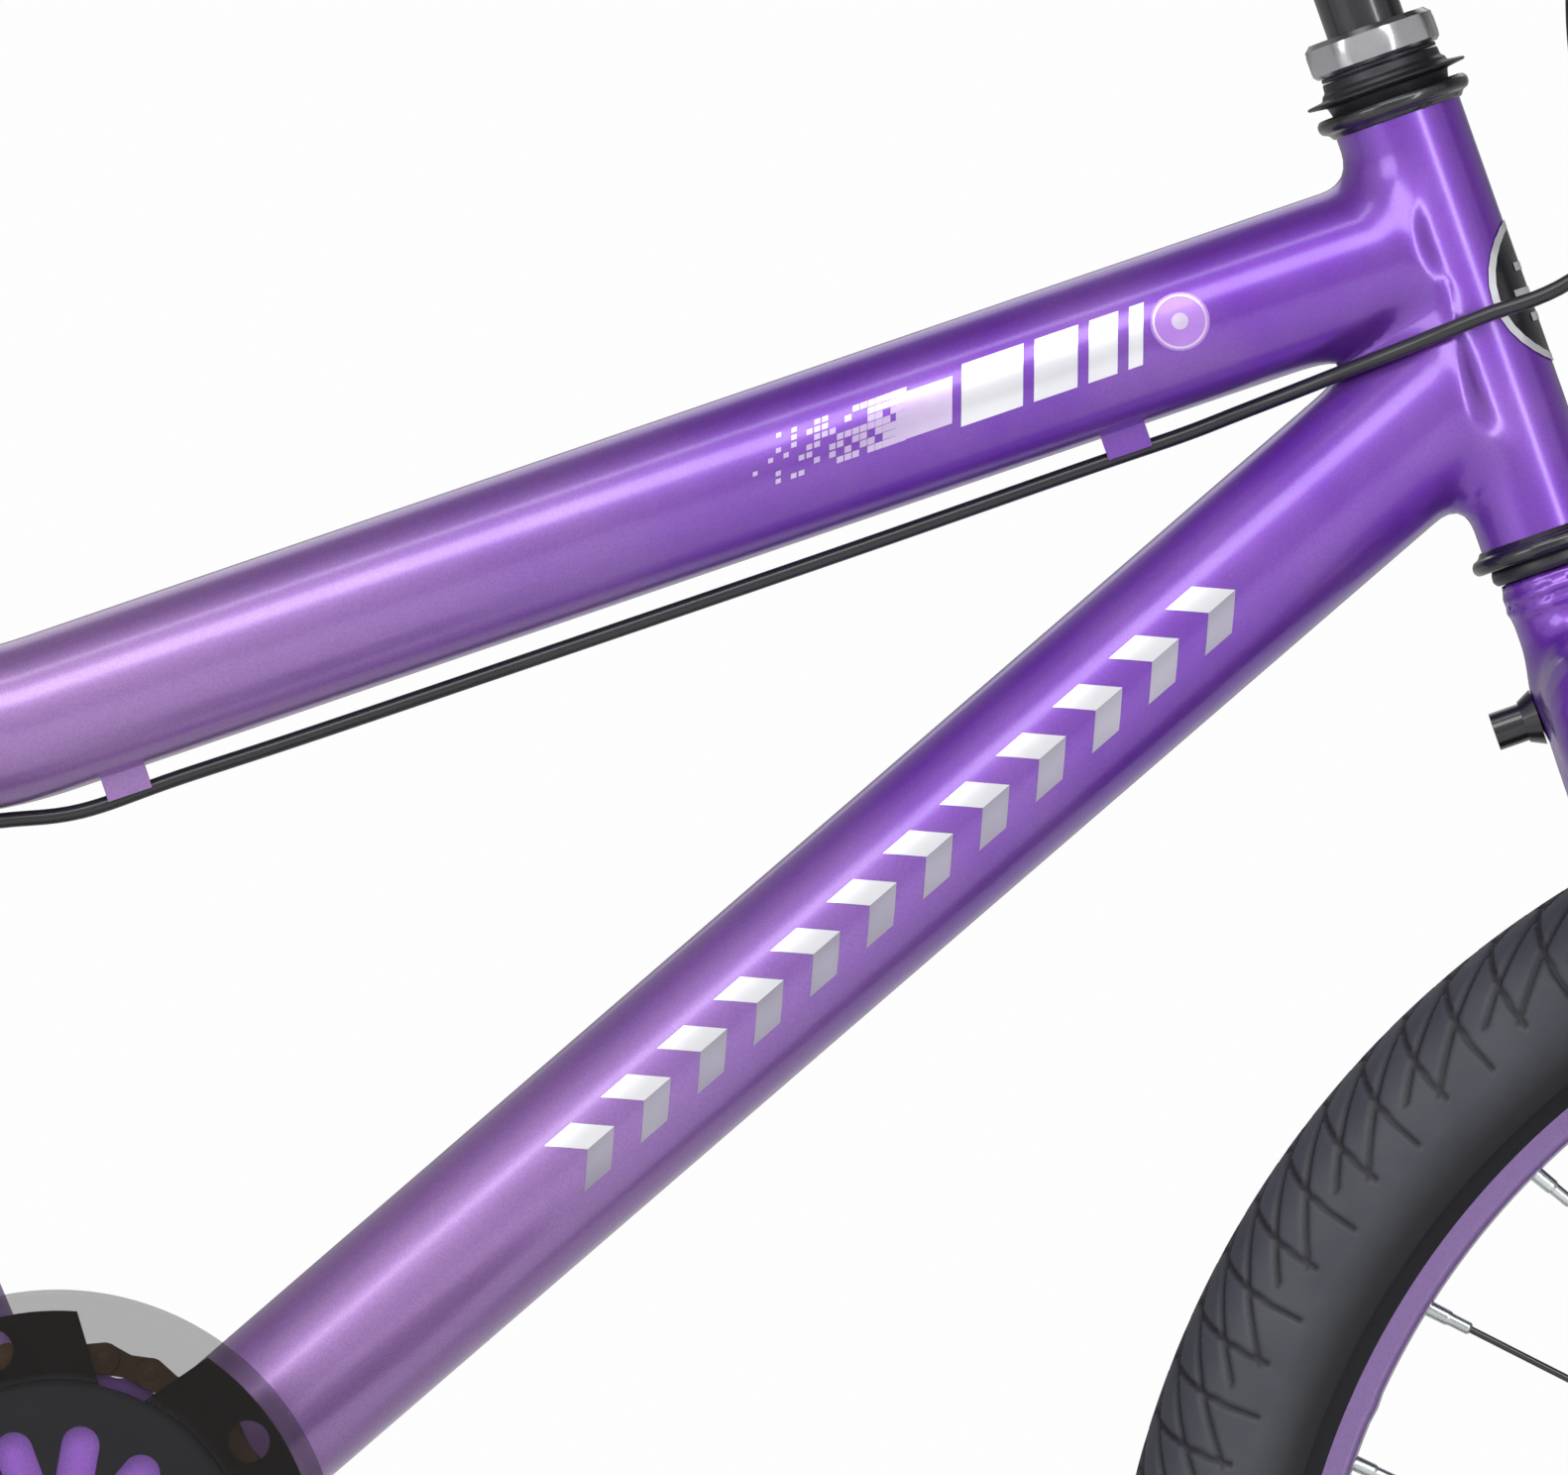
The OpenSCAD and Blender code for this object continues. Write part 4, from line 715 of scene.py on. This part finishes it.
def guides():
    parts = []
    for distance in (0.0945, 0.370):
        x, z = -top_way, np.array([math.sin(SLOPE), 0, -math.cos(SLOPE)])
        at = tube_front + distance * top_way
        drop, r0, r1 = 0.027, 0.0022, 0.0033
        legs = [(0.0042, -0.0073)] + [(r1 * math.cos(math.radians(t)), -r1 * math.sin(math.radians(t)))
                                      for t in range(0, 181, 12)] + [(-0.0042, -0.0073)]
        inner = [(0.003, -0.0073)] + [(r0 * math.cos(math.radians(t)), -r0 * math.sin(math.radians(t)))
                                      for t in range(0, 181, 12)] + [(-0.003, -0.0073)]
        sec = np.array(legs + inner[::-1])
        m = len(sec)
        verts = np.array([at + drop * z + s * x + a * LEFT + b * z
                          for s in (-0.006, 0.006) for a, b in sec])
        faces = [(k, (k + 1) % m, m + (k + 1) % m, m + k) for k in range(m)]
        half = len(legs)
        for k in range(half - 1):
            q = m - 1 - k
            faces.append((k, q, q - 1, k + 1))
            faces.append((m + k, m + k + 1, m + q - 1, m + q))
        parts.append((verts, faces))
    verts, faces = join(parts)
    piece("cable_loops", verts, faces, frame_paint, "frame", "cable_guides", slot="violet_paint")


top_tube_marks()
down_tube_marks()
head_badge()
guides()


def fork_skin():
    turn_z = HEAD_LOW - 0.082
    bend = 0.038
    leg_y = 0.054
    arc = [(0, leg_y + bend * (math.cos(a) - 1), turn_z + bend * math.sin(a))
           for a in np.radians(np.arange(90, -1, -10))]
    foot = np.array([FORK_OFFSET, leg_y, 0.019])
    top = np.array(arc[-1])
    line = [(0, 0, turn_z + bend)] + arc + [top + f * (foot - top) for f in (0.25, 0.45, 0.7, 1)]
    radii = [0.0158] * (len(arc) + 1) + [0.0142, 0.01265, 0.0113, 0.0095]
    f, a, b = line_field(line, radii)

    def both(p):
        return f(np.column_stack([p[:, 0], np.abs(p[:, 1]), p[:, 2]]))

    legs = (both, a * [1, 0, 1] - [0, b[1], 0], b)
    neck = bar_field((0, 0, HEAD_LOW - 0.080), (0, 0, HEAD_LOW - 0.010), 0.0153)

    def rings(p):
        r = np.hypot(p[:, 0], p[:, 1])
        return np.minimum(np.hypot(r - 0.0149, p[:, 2] - (HEAD_LOW - 0.0145)),
                          np.hypot(r - 0.0149, p[:, 2] - (HEAD_LOW - 0.0178))) - 0.0012

    reach = np.array([0.03, 0.03, 0])
    rings_field = (rings, np.array([0, 0, HEAD_LOW - 0.03]) - reach, np.array([0, 0, HEAD_LOW]) + reach)
    steerer = bar_field((0, 0, HEAD_LOW - 0.02), (0, 0, HEAD_TOP + 0.024), 0.0127)

    def plate(p):
        y = np.abs(p[:, 1]) - 0.0525
        disc = np.hypot(p[:, 0] - FORK_OFFSET, p[:, 2]) - 0.015
        tab = np.maximum(np.abs(p[:, 0] - FORK_OFFSET) - 0.009, np.maximum(p[:, 2] - 0.024, -p[:, 2]))
        flat = smin(disc, tab, 0.006)
        flat = smax(flat, -(np.hypot(p[:, 0] - FORK_OFFSET, p[:, 2]) - 0.005), 0.001)
        return smax(flat, np.abs(y) - 0.0025, 0.0015)

    plates = (plate, np.array([0, -0.07, -0.03]), np.array([0.06, 0.07, 0.04]))
    verts, faces, normals = skin([(0.008, [neck, legs]), (0.0012, [rings_field]), (0.004, [plates]),
                                  (0.001, [steerer])], [], 0.0019)
    verts = FOOT + verts @ STEER_AXES
    piece("fork_tubes", verts, faces, fork_paint, "steering", "fork_legs", "steerer_tube",
          slot="violet_paint", sharp=180, normals=normals @ STEER_AXES)


fork_skin()


# ---- headset ----
def headset():
    def part(profile, r=0.0005, low=False):
        if low:
            origin, axis = steer(0, HEAD_LOW), -UP
        else:
            origin, axis = steer(0, HEAD_TOP), UP
        p = soften([(a / 1000, b / 1000) for a, b in profile], r)
        return turn(p, origin, axis, 72)

    cup = [(13.4, -8), (14.9, -8), (15, 0.05), (17.6, 0.1), (18.6, 1.6), (20.0, 2.1), (20.7, 3.2),
           (20.7, 4.6), (19.9, 5.7), (18.4, 5.9), (17.4, 4.6), (16.2, 3.4), (13.6, 1.5)]
    v, f = join([part(cup), part(cup, low=True)])
    piece("headset_cup_pair", v, f, black_gloss, "frame", "headset_cups", slot="black_steel")
    upper = [(12.75, 2.5), (15.6, 2.6), (16.0, 6.2), (16.6, 8.4), (21.4, 9.0), (21.8, 9.5), (21.2, 9.9),
             (17.2, 10.4), (16.9, 11.6), (16.0, 12.2), (15.8, 14.6), (12.75, 14.7)]
    lower = [(12.75, 4.2), (15.4, 4.3), (16.6, 6.6), (16.8, 8.6), (15.8, 9.9), (12.75, 10)]
    v, f = join([part(upper), part(lower, low=True)])
    piece("bearing_races", v, f, washer_black, "steering", "headset_races", slot="black_steel")
    v, f = part([(12.75, 14.85), (15.7, 14.85), (15.7, 15.95), (12.75, 15.95)], r=0.0003)
    piece("keyed_ring", v, f, washer_black, "steering", "keyed_washer", slot="black_steel")


headset()


def lock_nut():
    sides, per = 8, 10
    low, high, r = 0.0161, 0.0253, 0.0184
    x, y, z = FWD, LEFT, UP
    rings = []
    for h, inset in ((low, 0.0016), (low + 0.0009, 0.0004), (low + 0.0022, 0), (high - 0.0030, 0),
                     (high - 0.0014, 0.0005), (high, 0.0022)):
        ring = []
        for i in range(sides):
            for k in range(per):
                a0 = math.radians(15 + 45 * i)
                a1 = a0 + math.radians(45)
                t = k / per
                c = (1 - t) * np.array([math.cos(a0), math.sin(a0)]) + t * np.array([math.cos(a1), math.sin(a1)])
                c = c * r
                d = np.linalg.norm(c)
                limit = r - inset - 0.00035
                if d > limit:
                    c = c / d * limit
                ring.append(c)
        rings.append((h, ring))
    n = sides * per
    verts = [steer(0, HEAD_TOP + h) + c[0] * x + c[1] * y for h, ring in rings for c in ring]
    faces = [(i * n + k, i * n + (k + 1) % n, (i + 1) * n + (k + 1) % n, (i + 1) * n + k)
             for i in range(len(rings) - 1) for k in range(n)]
    base = len(verts)
    for h in (high, low):
        verts += [steer(0, HEAD_TOP + h) + 0.0128 * (c / np.linalg.norm(c))[0] * x
                  + 0.0128 * (c / np.linalg.norm(c))[1] * y for c in rings[0][1]]
    top = (len(rings) - 1) * n
    for k in range(n):
        q = (k + 1) % n
        faces.append((top + k, top + q, base + q, base + k))
        faces.append((base + k, base + q, base + n + q, base + n + k))
        faces.append((base + n + k, base + n + q, q, k))
    piece("lock_nut", verts, faces, nut_chrome, "steering", "headset_locknut", slot="dark_chrome", sharp=25)


lock_nut()

# ---- brake cables ----
REAR_ROUTE = [
    (307, -137, 926), (317, -122, 927), (352, -103, 902), (376, -84, 850), (388, -66, 790),
    (387, -50, 735), (372, -38, 690), (347, -29, 652), (317, -24.6, 628.1), (294, -23, 618.8),
    (272, -17.5, 610), (250, -7, 601.3), (231, -1.5, 593.9), (216, 0, 588.1), (190, 0, 579.2),
    (120, 0, 554.8), (0, 0, 513.9), (-45, 0, 499), (-71, 0, 490.1), (-92, 0, 487.6),
    (-112, -5, 485), (-132, -15, 481.5), (-149, -24, 480.5), (-166, -31, 483.5),
    (-184, -36, 489), (-203, -37.5, 492.3), (-220, -36.5, 486.5), (-233.7, -36.5, 475)]
FRONT_ROUTE = [
    (307, 137, 926), (317, 122, 926), (340, 98, 893), (345, 80, 840), (335, 64, 790),
    (322, 50, 740), (319, 42, 700), (323, 38, 665), (329, 37, 619), (334, 36.5, 584),
    (340, 36.5, 563.5)]


def cable(name, route, node):
    line = catmull(np.array(route) / 1000, 0.003)
    parts = [pipe(line, 0.00205, 16)]
    for end, way in ((line[0], line[1] - line[0]), (line[-1], line[-2] - line[-1])):
        p = soften([(0.0, -0.0005), (0.0027, -0.0005), (0.0027, 0.011), (0.0022, 0.0125), (0.0, 0.0125)],
                   0.0004, closed=False)
        parts.append(turn([(max(a, 1e-5), b) for a, b in p], end, way, 20, closed=False))
    v, f = join(parts)
    return piece(name, v, f, jacket, None, node, slot="cable_jacket", ride=False)


rear_cable = cable("rear_cable", REAR_ROUTE, "rear_brake_cable")
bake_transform(rear_cable)
front_cable = cable("front_cable", FRONT_ROUTE, "front_brake_cable")
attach(front_cable, "steering")

# ---- wheels ----
TREADS = 52
SECTION_AT, SECTION_R = 0.229, 0.025
STEPS = 36


def tread_depth(s, w, period):
    """How deep the grooves cut at s along the tread and w from its middle, in millimetres."""
    cut = np.zeros_like(s)

    def groove(distance, slope, live, width=0.62, depth=1.0):
        d = np.abs((distance + period / 2) % period - period / 2) / np.sqrt(1 + slope ** 2)
        g = np.clip((width + 0.45 - d) / 0.5, 0, 1) * live
        np.maximum(cut, depth * g, out=cut)

    def live(low, high):
        return np.clip((w - low) / 0.8, 0, 1) * np.clip((high - w) / 0.8, 0, 1)

    half = period / 2
    groove(s + 1.42 * w, 1.42, live(3, 36))
    groove(s + 1.42 * w + half, 1.42, live(3, 31))
    bend = 7.5 * np.clip((36 - w) / 31, 0, 1) ** 2
    slope = 15 * np.clip((36 - w) / 31, 0, 1) / 31
    groove(s - bend + 3.0, slope, live(2, 41))
    groove(s - bend + 3.0 + half, slope, live(2, 38))
    groove(w - 1.6 * np.sin(2 * np.pi * s / period) - 1.2, 0.3, (w < 5).astype(float), 0.5)
    return cut


def tyre():
    """One tyre round the origin, with its groove depth and a painted shade mask kept as attributes; the material
    colours the grooves, the sidewall where it curves in to the rim, and the inside near black as painted shade.
    """
    period = 2 * math.pi * 254 / TREADS
    n = TREADS * STEPS
    w = np.linspace(-58, 58, 117)
    phi = w / 25.0
    m = len(w)
    theta = np.arange(n) * 2 * np.pi / n
    s = (theta * 254)[:, None] + 0 * w[None, :]
    ww = np.abs(w)[None, :] + 0 * s
    shift = np.where(w < 0, 0, period / 2)[None, :]
    depth = tread_depth(s + shift, ww, period)
    r = SECTION_AT + (SECTION_R - depth / 1000) * np.cos(phi)[None, :]
    y = (SECTION_R - depth / 1000) * np.sin(phi)[None, :]
    ct, st = np.cos(theta)[:, None], np.sin(theta)[:, None]
    outer = np.stack([-r * ct, y, r * st], -1)
    # bead and inside, coarse
    inner = [(0.2118, 0.0170), (0.2045, 0.0150), (0.2034, 0.0118), (0.2135, 0.0118), (0.2150, 0.0155),
             (0.2290, 0.0203), (0.2430, 0.0150), (0.2493, 0.0)]
    loop = [(a, b) for a, b in inner] + [(a, -b) for a, b in inner[-2::-1]]
    rings = np.array([[(-a * c, b, a * d) for a, b in loop] for c, d in zip(ct[:, 0], st[:, 0])])
    full = np.concatenate([outer, rings], 1)
    k = full.shape[1]
    verts = full.reshape(-1, 3)
    i = np.arange(n)[:, None]
    j = np.arange(k)[None, :]
    a = i * k + j
    b = ((i + 1) % n) * k + j
    c = ((i + 1) % n) * k + (j + 1) % k
    d = i * k + (j + 1) % k
    faces = np.stack([a, d, c, b], -1).reshape(-1, 4)
    me = bpy.data.meshes.new("tyre")
    me.from_pydata(verts.tolist(), [], faces.tolist())
    me.polygons.foreach_set("use_smooth", [True] * len(me.polygons))
    # The groove depth, which the material uses as painted shade in the grooves.
    g = me.attributes.new("groove", "FLOAT", "POINT")
    values = np.zeros((n, k), np.float32)
    values[:, :m] = depth
    g.data.foreach_set("value", values.ravel())
    # Painted shade mask: 1 inside the tyre, and rising from 0 to 1 on the sidewall as it curves in toward the rim.
    h = me.attributes.new("rim_shade", "FLOAT", "POINT")
    values = np.ones((n, k), np.float32)
    values[:, :m] = np.clip((ww - 42) / 11, 0, 1)
    h.data.foreach_set("value", values.ravel())
    me.materials.append(tyre_rubber)
    me.update()
    return me


tyre_mesh = tyre()
for name, centre, body in (("front", FRONT_AXLE, "front_wheel"), ("rear", REAR_AXLE, "rear_wheel")):
    o = bpy.data.objects.new(name + "_tread_tyre", tyre_mesh)
    scene.collection.objects.link(o)
    o.location = centre
    bpy.context.view_layer.update()
    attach(o, body)
    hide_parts(name + "_tyre", name + "_inner_tube")


def rim(name, centre, body):
    half = [(200.3, 0), (200.3, 9.6), (200.9, 14.4), (202.4, 15.6), (210.4, 16.0), (211.4, 16.4), (212.2, 15.6),
            (212.1, 14.2), (211.4, 13.5), (204.0, 13.1), (203.0, 9.6), (201.9, 8.0), (201.9, 0)]
    loop = [(a / 1000, b / 1000) for a, b in half] + [(a / 1000, -b / 1000) for a, b in half[-2:0:-1]]
    v, f = turn(soften(loop, 0.0006), centre, (0, 1, 0), 288)
    # the seam where the hoop is joined
    d = v - centre
    a = np.degrees(np.arctan2(d[:, 2], d[:, 0]))
    near = np.abs(a - 156.2) < 0.35
    v[near] -= (d / np.linalg.norm(d, axis=1)[:, None])[near] * 0.0004
    piece(name + "_hoop", v, f, rim_paint, body, name + "_rim", slot="rim_paint", sharp=60)


def spokes(name, centre, body, spread):
    wires, nipples = [], []
    for i in range(28):
        side = 1 if i % 2 == 0 else -1
        way = 1 if (i // 2) % 2 == 0 else -1
        at = math.radians(360 * (i + 0.5) / 28)
        h = at + way * math.radians(80)
        out = 0.0046 if way > 0 else -0.0029
        hub = np.array([0.0185 * math.cos(h), side * (spread + out), 0.0185 * math.sin(h)])
        end = np.array([0.2002 * math.cos(at), side * (0.004 + way * 0.0014), 0.2002 * math.sin(at)])
        u = (hub - end) / np.linalg.norm(hub - end)
        elbow = hub - np.array([0, side * way * 0.0032, 0])
        line = np.concatenate([[elbow], [hub + (elbow - hub) * 0.3], [hub + 0.0002 * u],
                               [hub - u * 0.003], [end + u * 0.003]])
        wires.append(pipe(line + centre, 0.00095, 10))
        wires.append(pipe(np.array([elbow, elbow - np.array([0, side * way * 0.0008, 0])]) + centre, 0.0018, 12))
        p = [(1e-5, -0.003), (0.0029, -0.003), (0.0029, -0.0012), (0.0021, -0.0004), (0.0020, 0.0055),
             (0.0017, 0.0062), (0.00165, 0.0116), (0.0012, 0.0122), (1e-5, 0.0122)]
        nipples.append(turn(soften(p, 0.0002, 2, closed=False), end + centre, u, 16, closed=False))
    v, f = join(wires)
    piece(name + "_spoke_set", v, f, black_gloss, body, name + "_spokes", slot="bright_steel", sharp=60)
    v, f = join(nipples)
    piece(name + "_nipples", v, f, nipple_silver, body, slot="bright_steel", sharp=30)


for name, centre, body in (("front", FRONT_AXLE, "front_wheel"), ("rear", REAR_AXLE, "rear_wheel")):
    rim(name, centre, body)
    spokes(name, centre, body, 0.030)


# ---- drive ----
PITCH = 0.0127
R1 = PITCH / (2 * math.sin(math.pi / 28))
R2 = PITCH / (2 * math.sin(math.pi / 16))
CHAIN_Y = -0.042


def chain():
    c1, c2 = BB[[0, 2]], REAR_AXLE[[0, 2]]
    d = c2 - c1
    l = np.linalg.norm(d)
    u = d / l
    lean = math.asin((R1 - R2) / l)
    a = math.atan2(u[1], u[0])
    n1 = np.array([math.cos(a - math.pi / 2 + lean), math.sin(a - math.pi / 2 + lean)])
    n2 = np.array([math.cos(a + math.pi / 2 - lean), math.sin(a + math.pi / 2 - lean)])
    top, low = (n1, n2) if n1[1] > n2[1] else (n2, n1)
    # around the chainring from the lower to the upper tangent, then back round the sprocket
    p = []
    ta, tb = math.atan2(low[1], low[0]), math.atan2(top[1], top[0])
    while tb < ta:
        tb += 2 * math.pi
    for t in np.linspace(ta, tb, 400):
        p.append(c1 + R1 * np.array([math.cos(t), math.sin(t)]))
    for t in np.linspace(tb, ta + 2 * math.pi, 300):
        p.append(c2 + R2 * np.array([math.cos(t), math.sin(t)]))
    p.append(p[0])
    p = np.array(p)
    s = np.concatenate([[0], np.cumsum(np.linalg.norm(np.diff(p, axis=0), axis=1))])
    n = int(round(s[-1] / PITCH / 2)) * 2
    at = np.linspace(0, s[-1], n + 1)
    x, z = np.interp(at, s, p[:, 0]), np.interp(at, s, p[:, 1])
    pins = np.column_stack([x, z])
    parts = []
    for i in range(n):
        a, b = pins[i], pins[i + 1]
        w = (b - a) / np.linalg.norm(b - a)
        v = np.array([-w[1], w[0]])
        l = np.linalg.norm(b - a)
        outline = []
        R = 0.0042
        for t in np.radians(np.arange(-90, 91, 22.5)):
            outline.append((l + R * math.cos(t), R * math.sin(t)))
        outline.append((l / 2, R * 0.72))
        for t in np.radians(np.arange(90, 271, 22.5)):
            outline.append((R * math.cos(t), R * math.sin(t)))
        outline.append((l / 2, -R * 0.72))
        offset = 0.0028 if i % 2 else 0.0017
        for side in (-1, 1):
            lo, hi = sorted((side * offset, side * (offset + 0.001)))
            vs, fs = slab(outline, lo, hi, 0.0002)
            parts.append(place((vs, fs), np.array([a[0], CHAIN_Y, a[1]]),
                               (w[0], 0, w[1]), (v[0], 0, v[1]), (0, -1, 0)))
        pin = turn(soften([(1e-5, -0.0042), (0.0018, -0.0042), (0.0018, 0.0042), (1e-5, 0.0042)], 0.0002, 2, False),
                   np.array([a[0], CHAIN_Y, a[1]]), (0, 1, 0), 12, closed=False)
        roller = turn([(0.0039, -0.0016), (0.0039, 0.0016), (0.0020, 0.0016), (0.0020, -0.0016)],
                      np.array([a[0], CHAIN_Y, a[1]]), (0, 1, 0), 18)
        parts += [pin, roller]
    v, f = join(parts)
    piece("chain_links", v, f, chain_steel, "frame", "chain", slot="chain_steel", sharp=40)


chain()


def guard():
    y = 0.0487
    prof = [(50.0, 0.2), (50.0, 1.4), (51.2, 1.9), (68.0, 1.9), (69.2, 2.4), (71.0, 2.4), (73.0, 2.2), (73.5, 1.2),
            (73.5, -0.2), (73.0, -0.6), (70.2, -0.6), (69.6, 0.2), (68.0, 0.3), (51.0, 0.3)]
    p = soften([(a / 1000, b / 1000) for a, b in prof], 0.0005)
    v, f = turn(p, BB - np.array([0, y, 0]), (0, -1, 0), 160)
    piece("guard_ring", v, f, smoked, "crank", "chain_guard", slot="smoked_plastic", sharp=60)


guard()


# ---- saddle ----
def saddle_pad():
    """The cushion from its CAD form, rounded and sewn: a seam round its side and a channel along its top."""
    source = nodes["saddle_cushion"]
    me = source.data.copy()
    me.transform(source.matrix_world)
    me.materials.clear()
    me.materials.append(vinyl)
    pad = bpy.data.objects.new("saddle_pad", me)
    scene.collection.objects.link(pad)
    for kind, values in (("REMESH", {"mode": "VOXEL", "voxel_size": 0.003, "use_smooth_shade": True}),
                         ("SMOOTH", {"factor": 0.5, "iterations": 14}),
                         ("SUBSURF", {"levels": 1, "render_levels": 1})):
        m = pad.modifiers.new(kind.lower(), kind)
        for key, value in values.items():
            setattr(m, key, value)
    bpy.context.view_layer.update()
    done = bpy.data.meshes.new_from_object(pad.evaluated_get(bpy.context.evaluated_depsgraph_get()))
    pad.modifiers.clear()
    pad.data = done
    n = len(done.vertices)
    co, normal = np.zeros(3 * n), np.zeros(3 * n)
    done.vertices.foreach_get("co", co)
    done.vertices.foreach_get("normal", normal)
    co, normal = co.reshape(n, 3), normal.reshape(n, 3)
    tilt = math.radians(4)
    height = co @ np.array([math.sin(tilt), 0, math.cos(tilt)])
    share = (height - height.min()) / (height.max() - height.min())
    length = (co[:, 0] - co[:, 0].min()) / np.ptp(co[:, 0])
    seam = np.exp(-((share - 0.42) / 0.035) ** 2) * (np.abs(normal[:, 2]) < 0.75)
    channel = np.exp(-(co[:, 1] / 0.0032) ** 2) * (normal[:, 2] > 0.5)
    channel *= np.clip((length - 0.12) / 0.08, 0, 1) * np.clip((0.62 - length) / 0.08, 0, 1)
    co -= normal * (0.0011 * seam + 0.0022 * channel)[:, None]
    done.vertices.foreach_set("co", co.ravel())
    done.update()
    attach(pad, "seat")
    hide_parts("saddle_cushion")


saddle_pad()


def repaint(material, *names):
    for n in names:
        me = nodes[n].data
        me.materials.clear()
        me.materials.append(material)


repaint(frame_paint, "chain_stays", "seat_stays")
repaint(ring_paint_and_shade, "chainring")
repaint(black_plastic, "guard_disc", "left_pedal", "right_pedal", "saddle_base")
repaint(chain_steel, "freewheel")
repaint(steel, "rear_axle", "front_axle", "stem_hardware", "crank_cones", "pedal_spindles", "saddle_rails",
        "bearing_balls")
repaint(black_gloss, "crank_arms", "bottom_bracket_cups", "seat_clamp", "seat_post", "saddle_clamp", "stem",
        "stem_face_plate", "front_hub", "rear_hub", "rear_brake_bolt", "front_brake_bolt")
repaint(black_satin, "lever_perches", "left_brake_lever", "right_brake_lever", "front_brake_left_arm",
        "front_brake_right_arm", "rear_brake_left_arm", "rear_brake_right_arm")
repaint(rubber, "grips")
repaint(black_gloss, "handlebar")
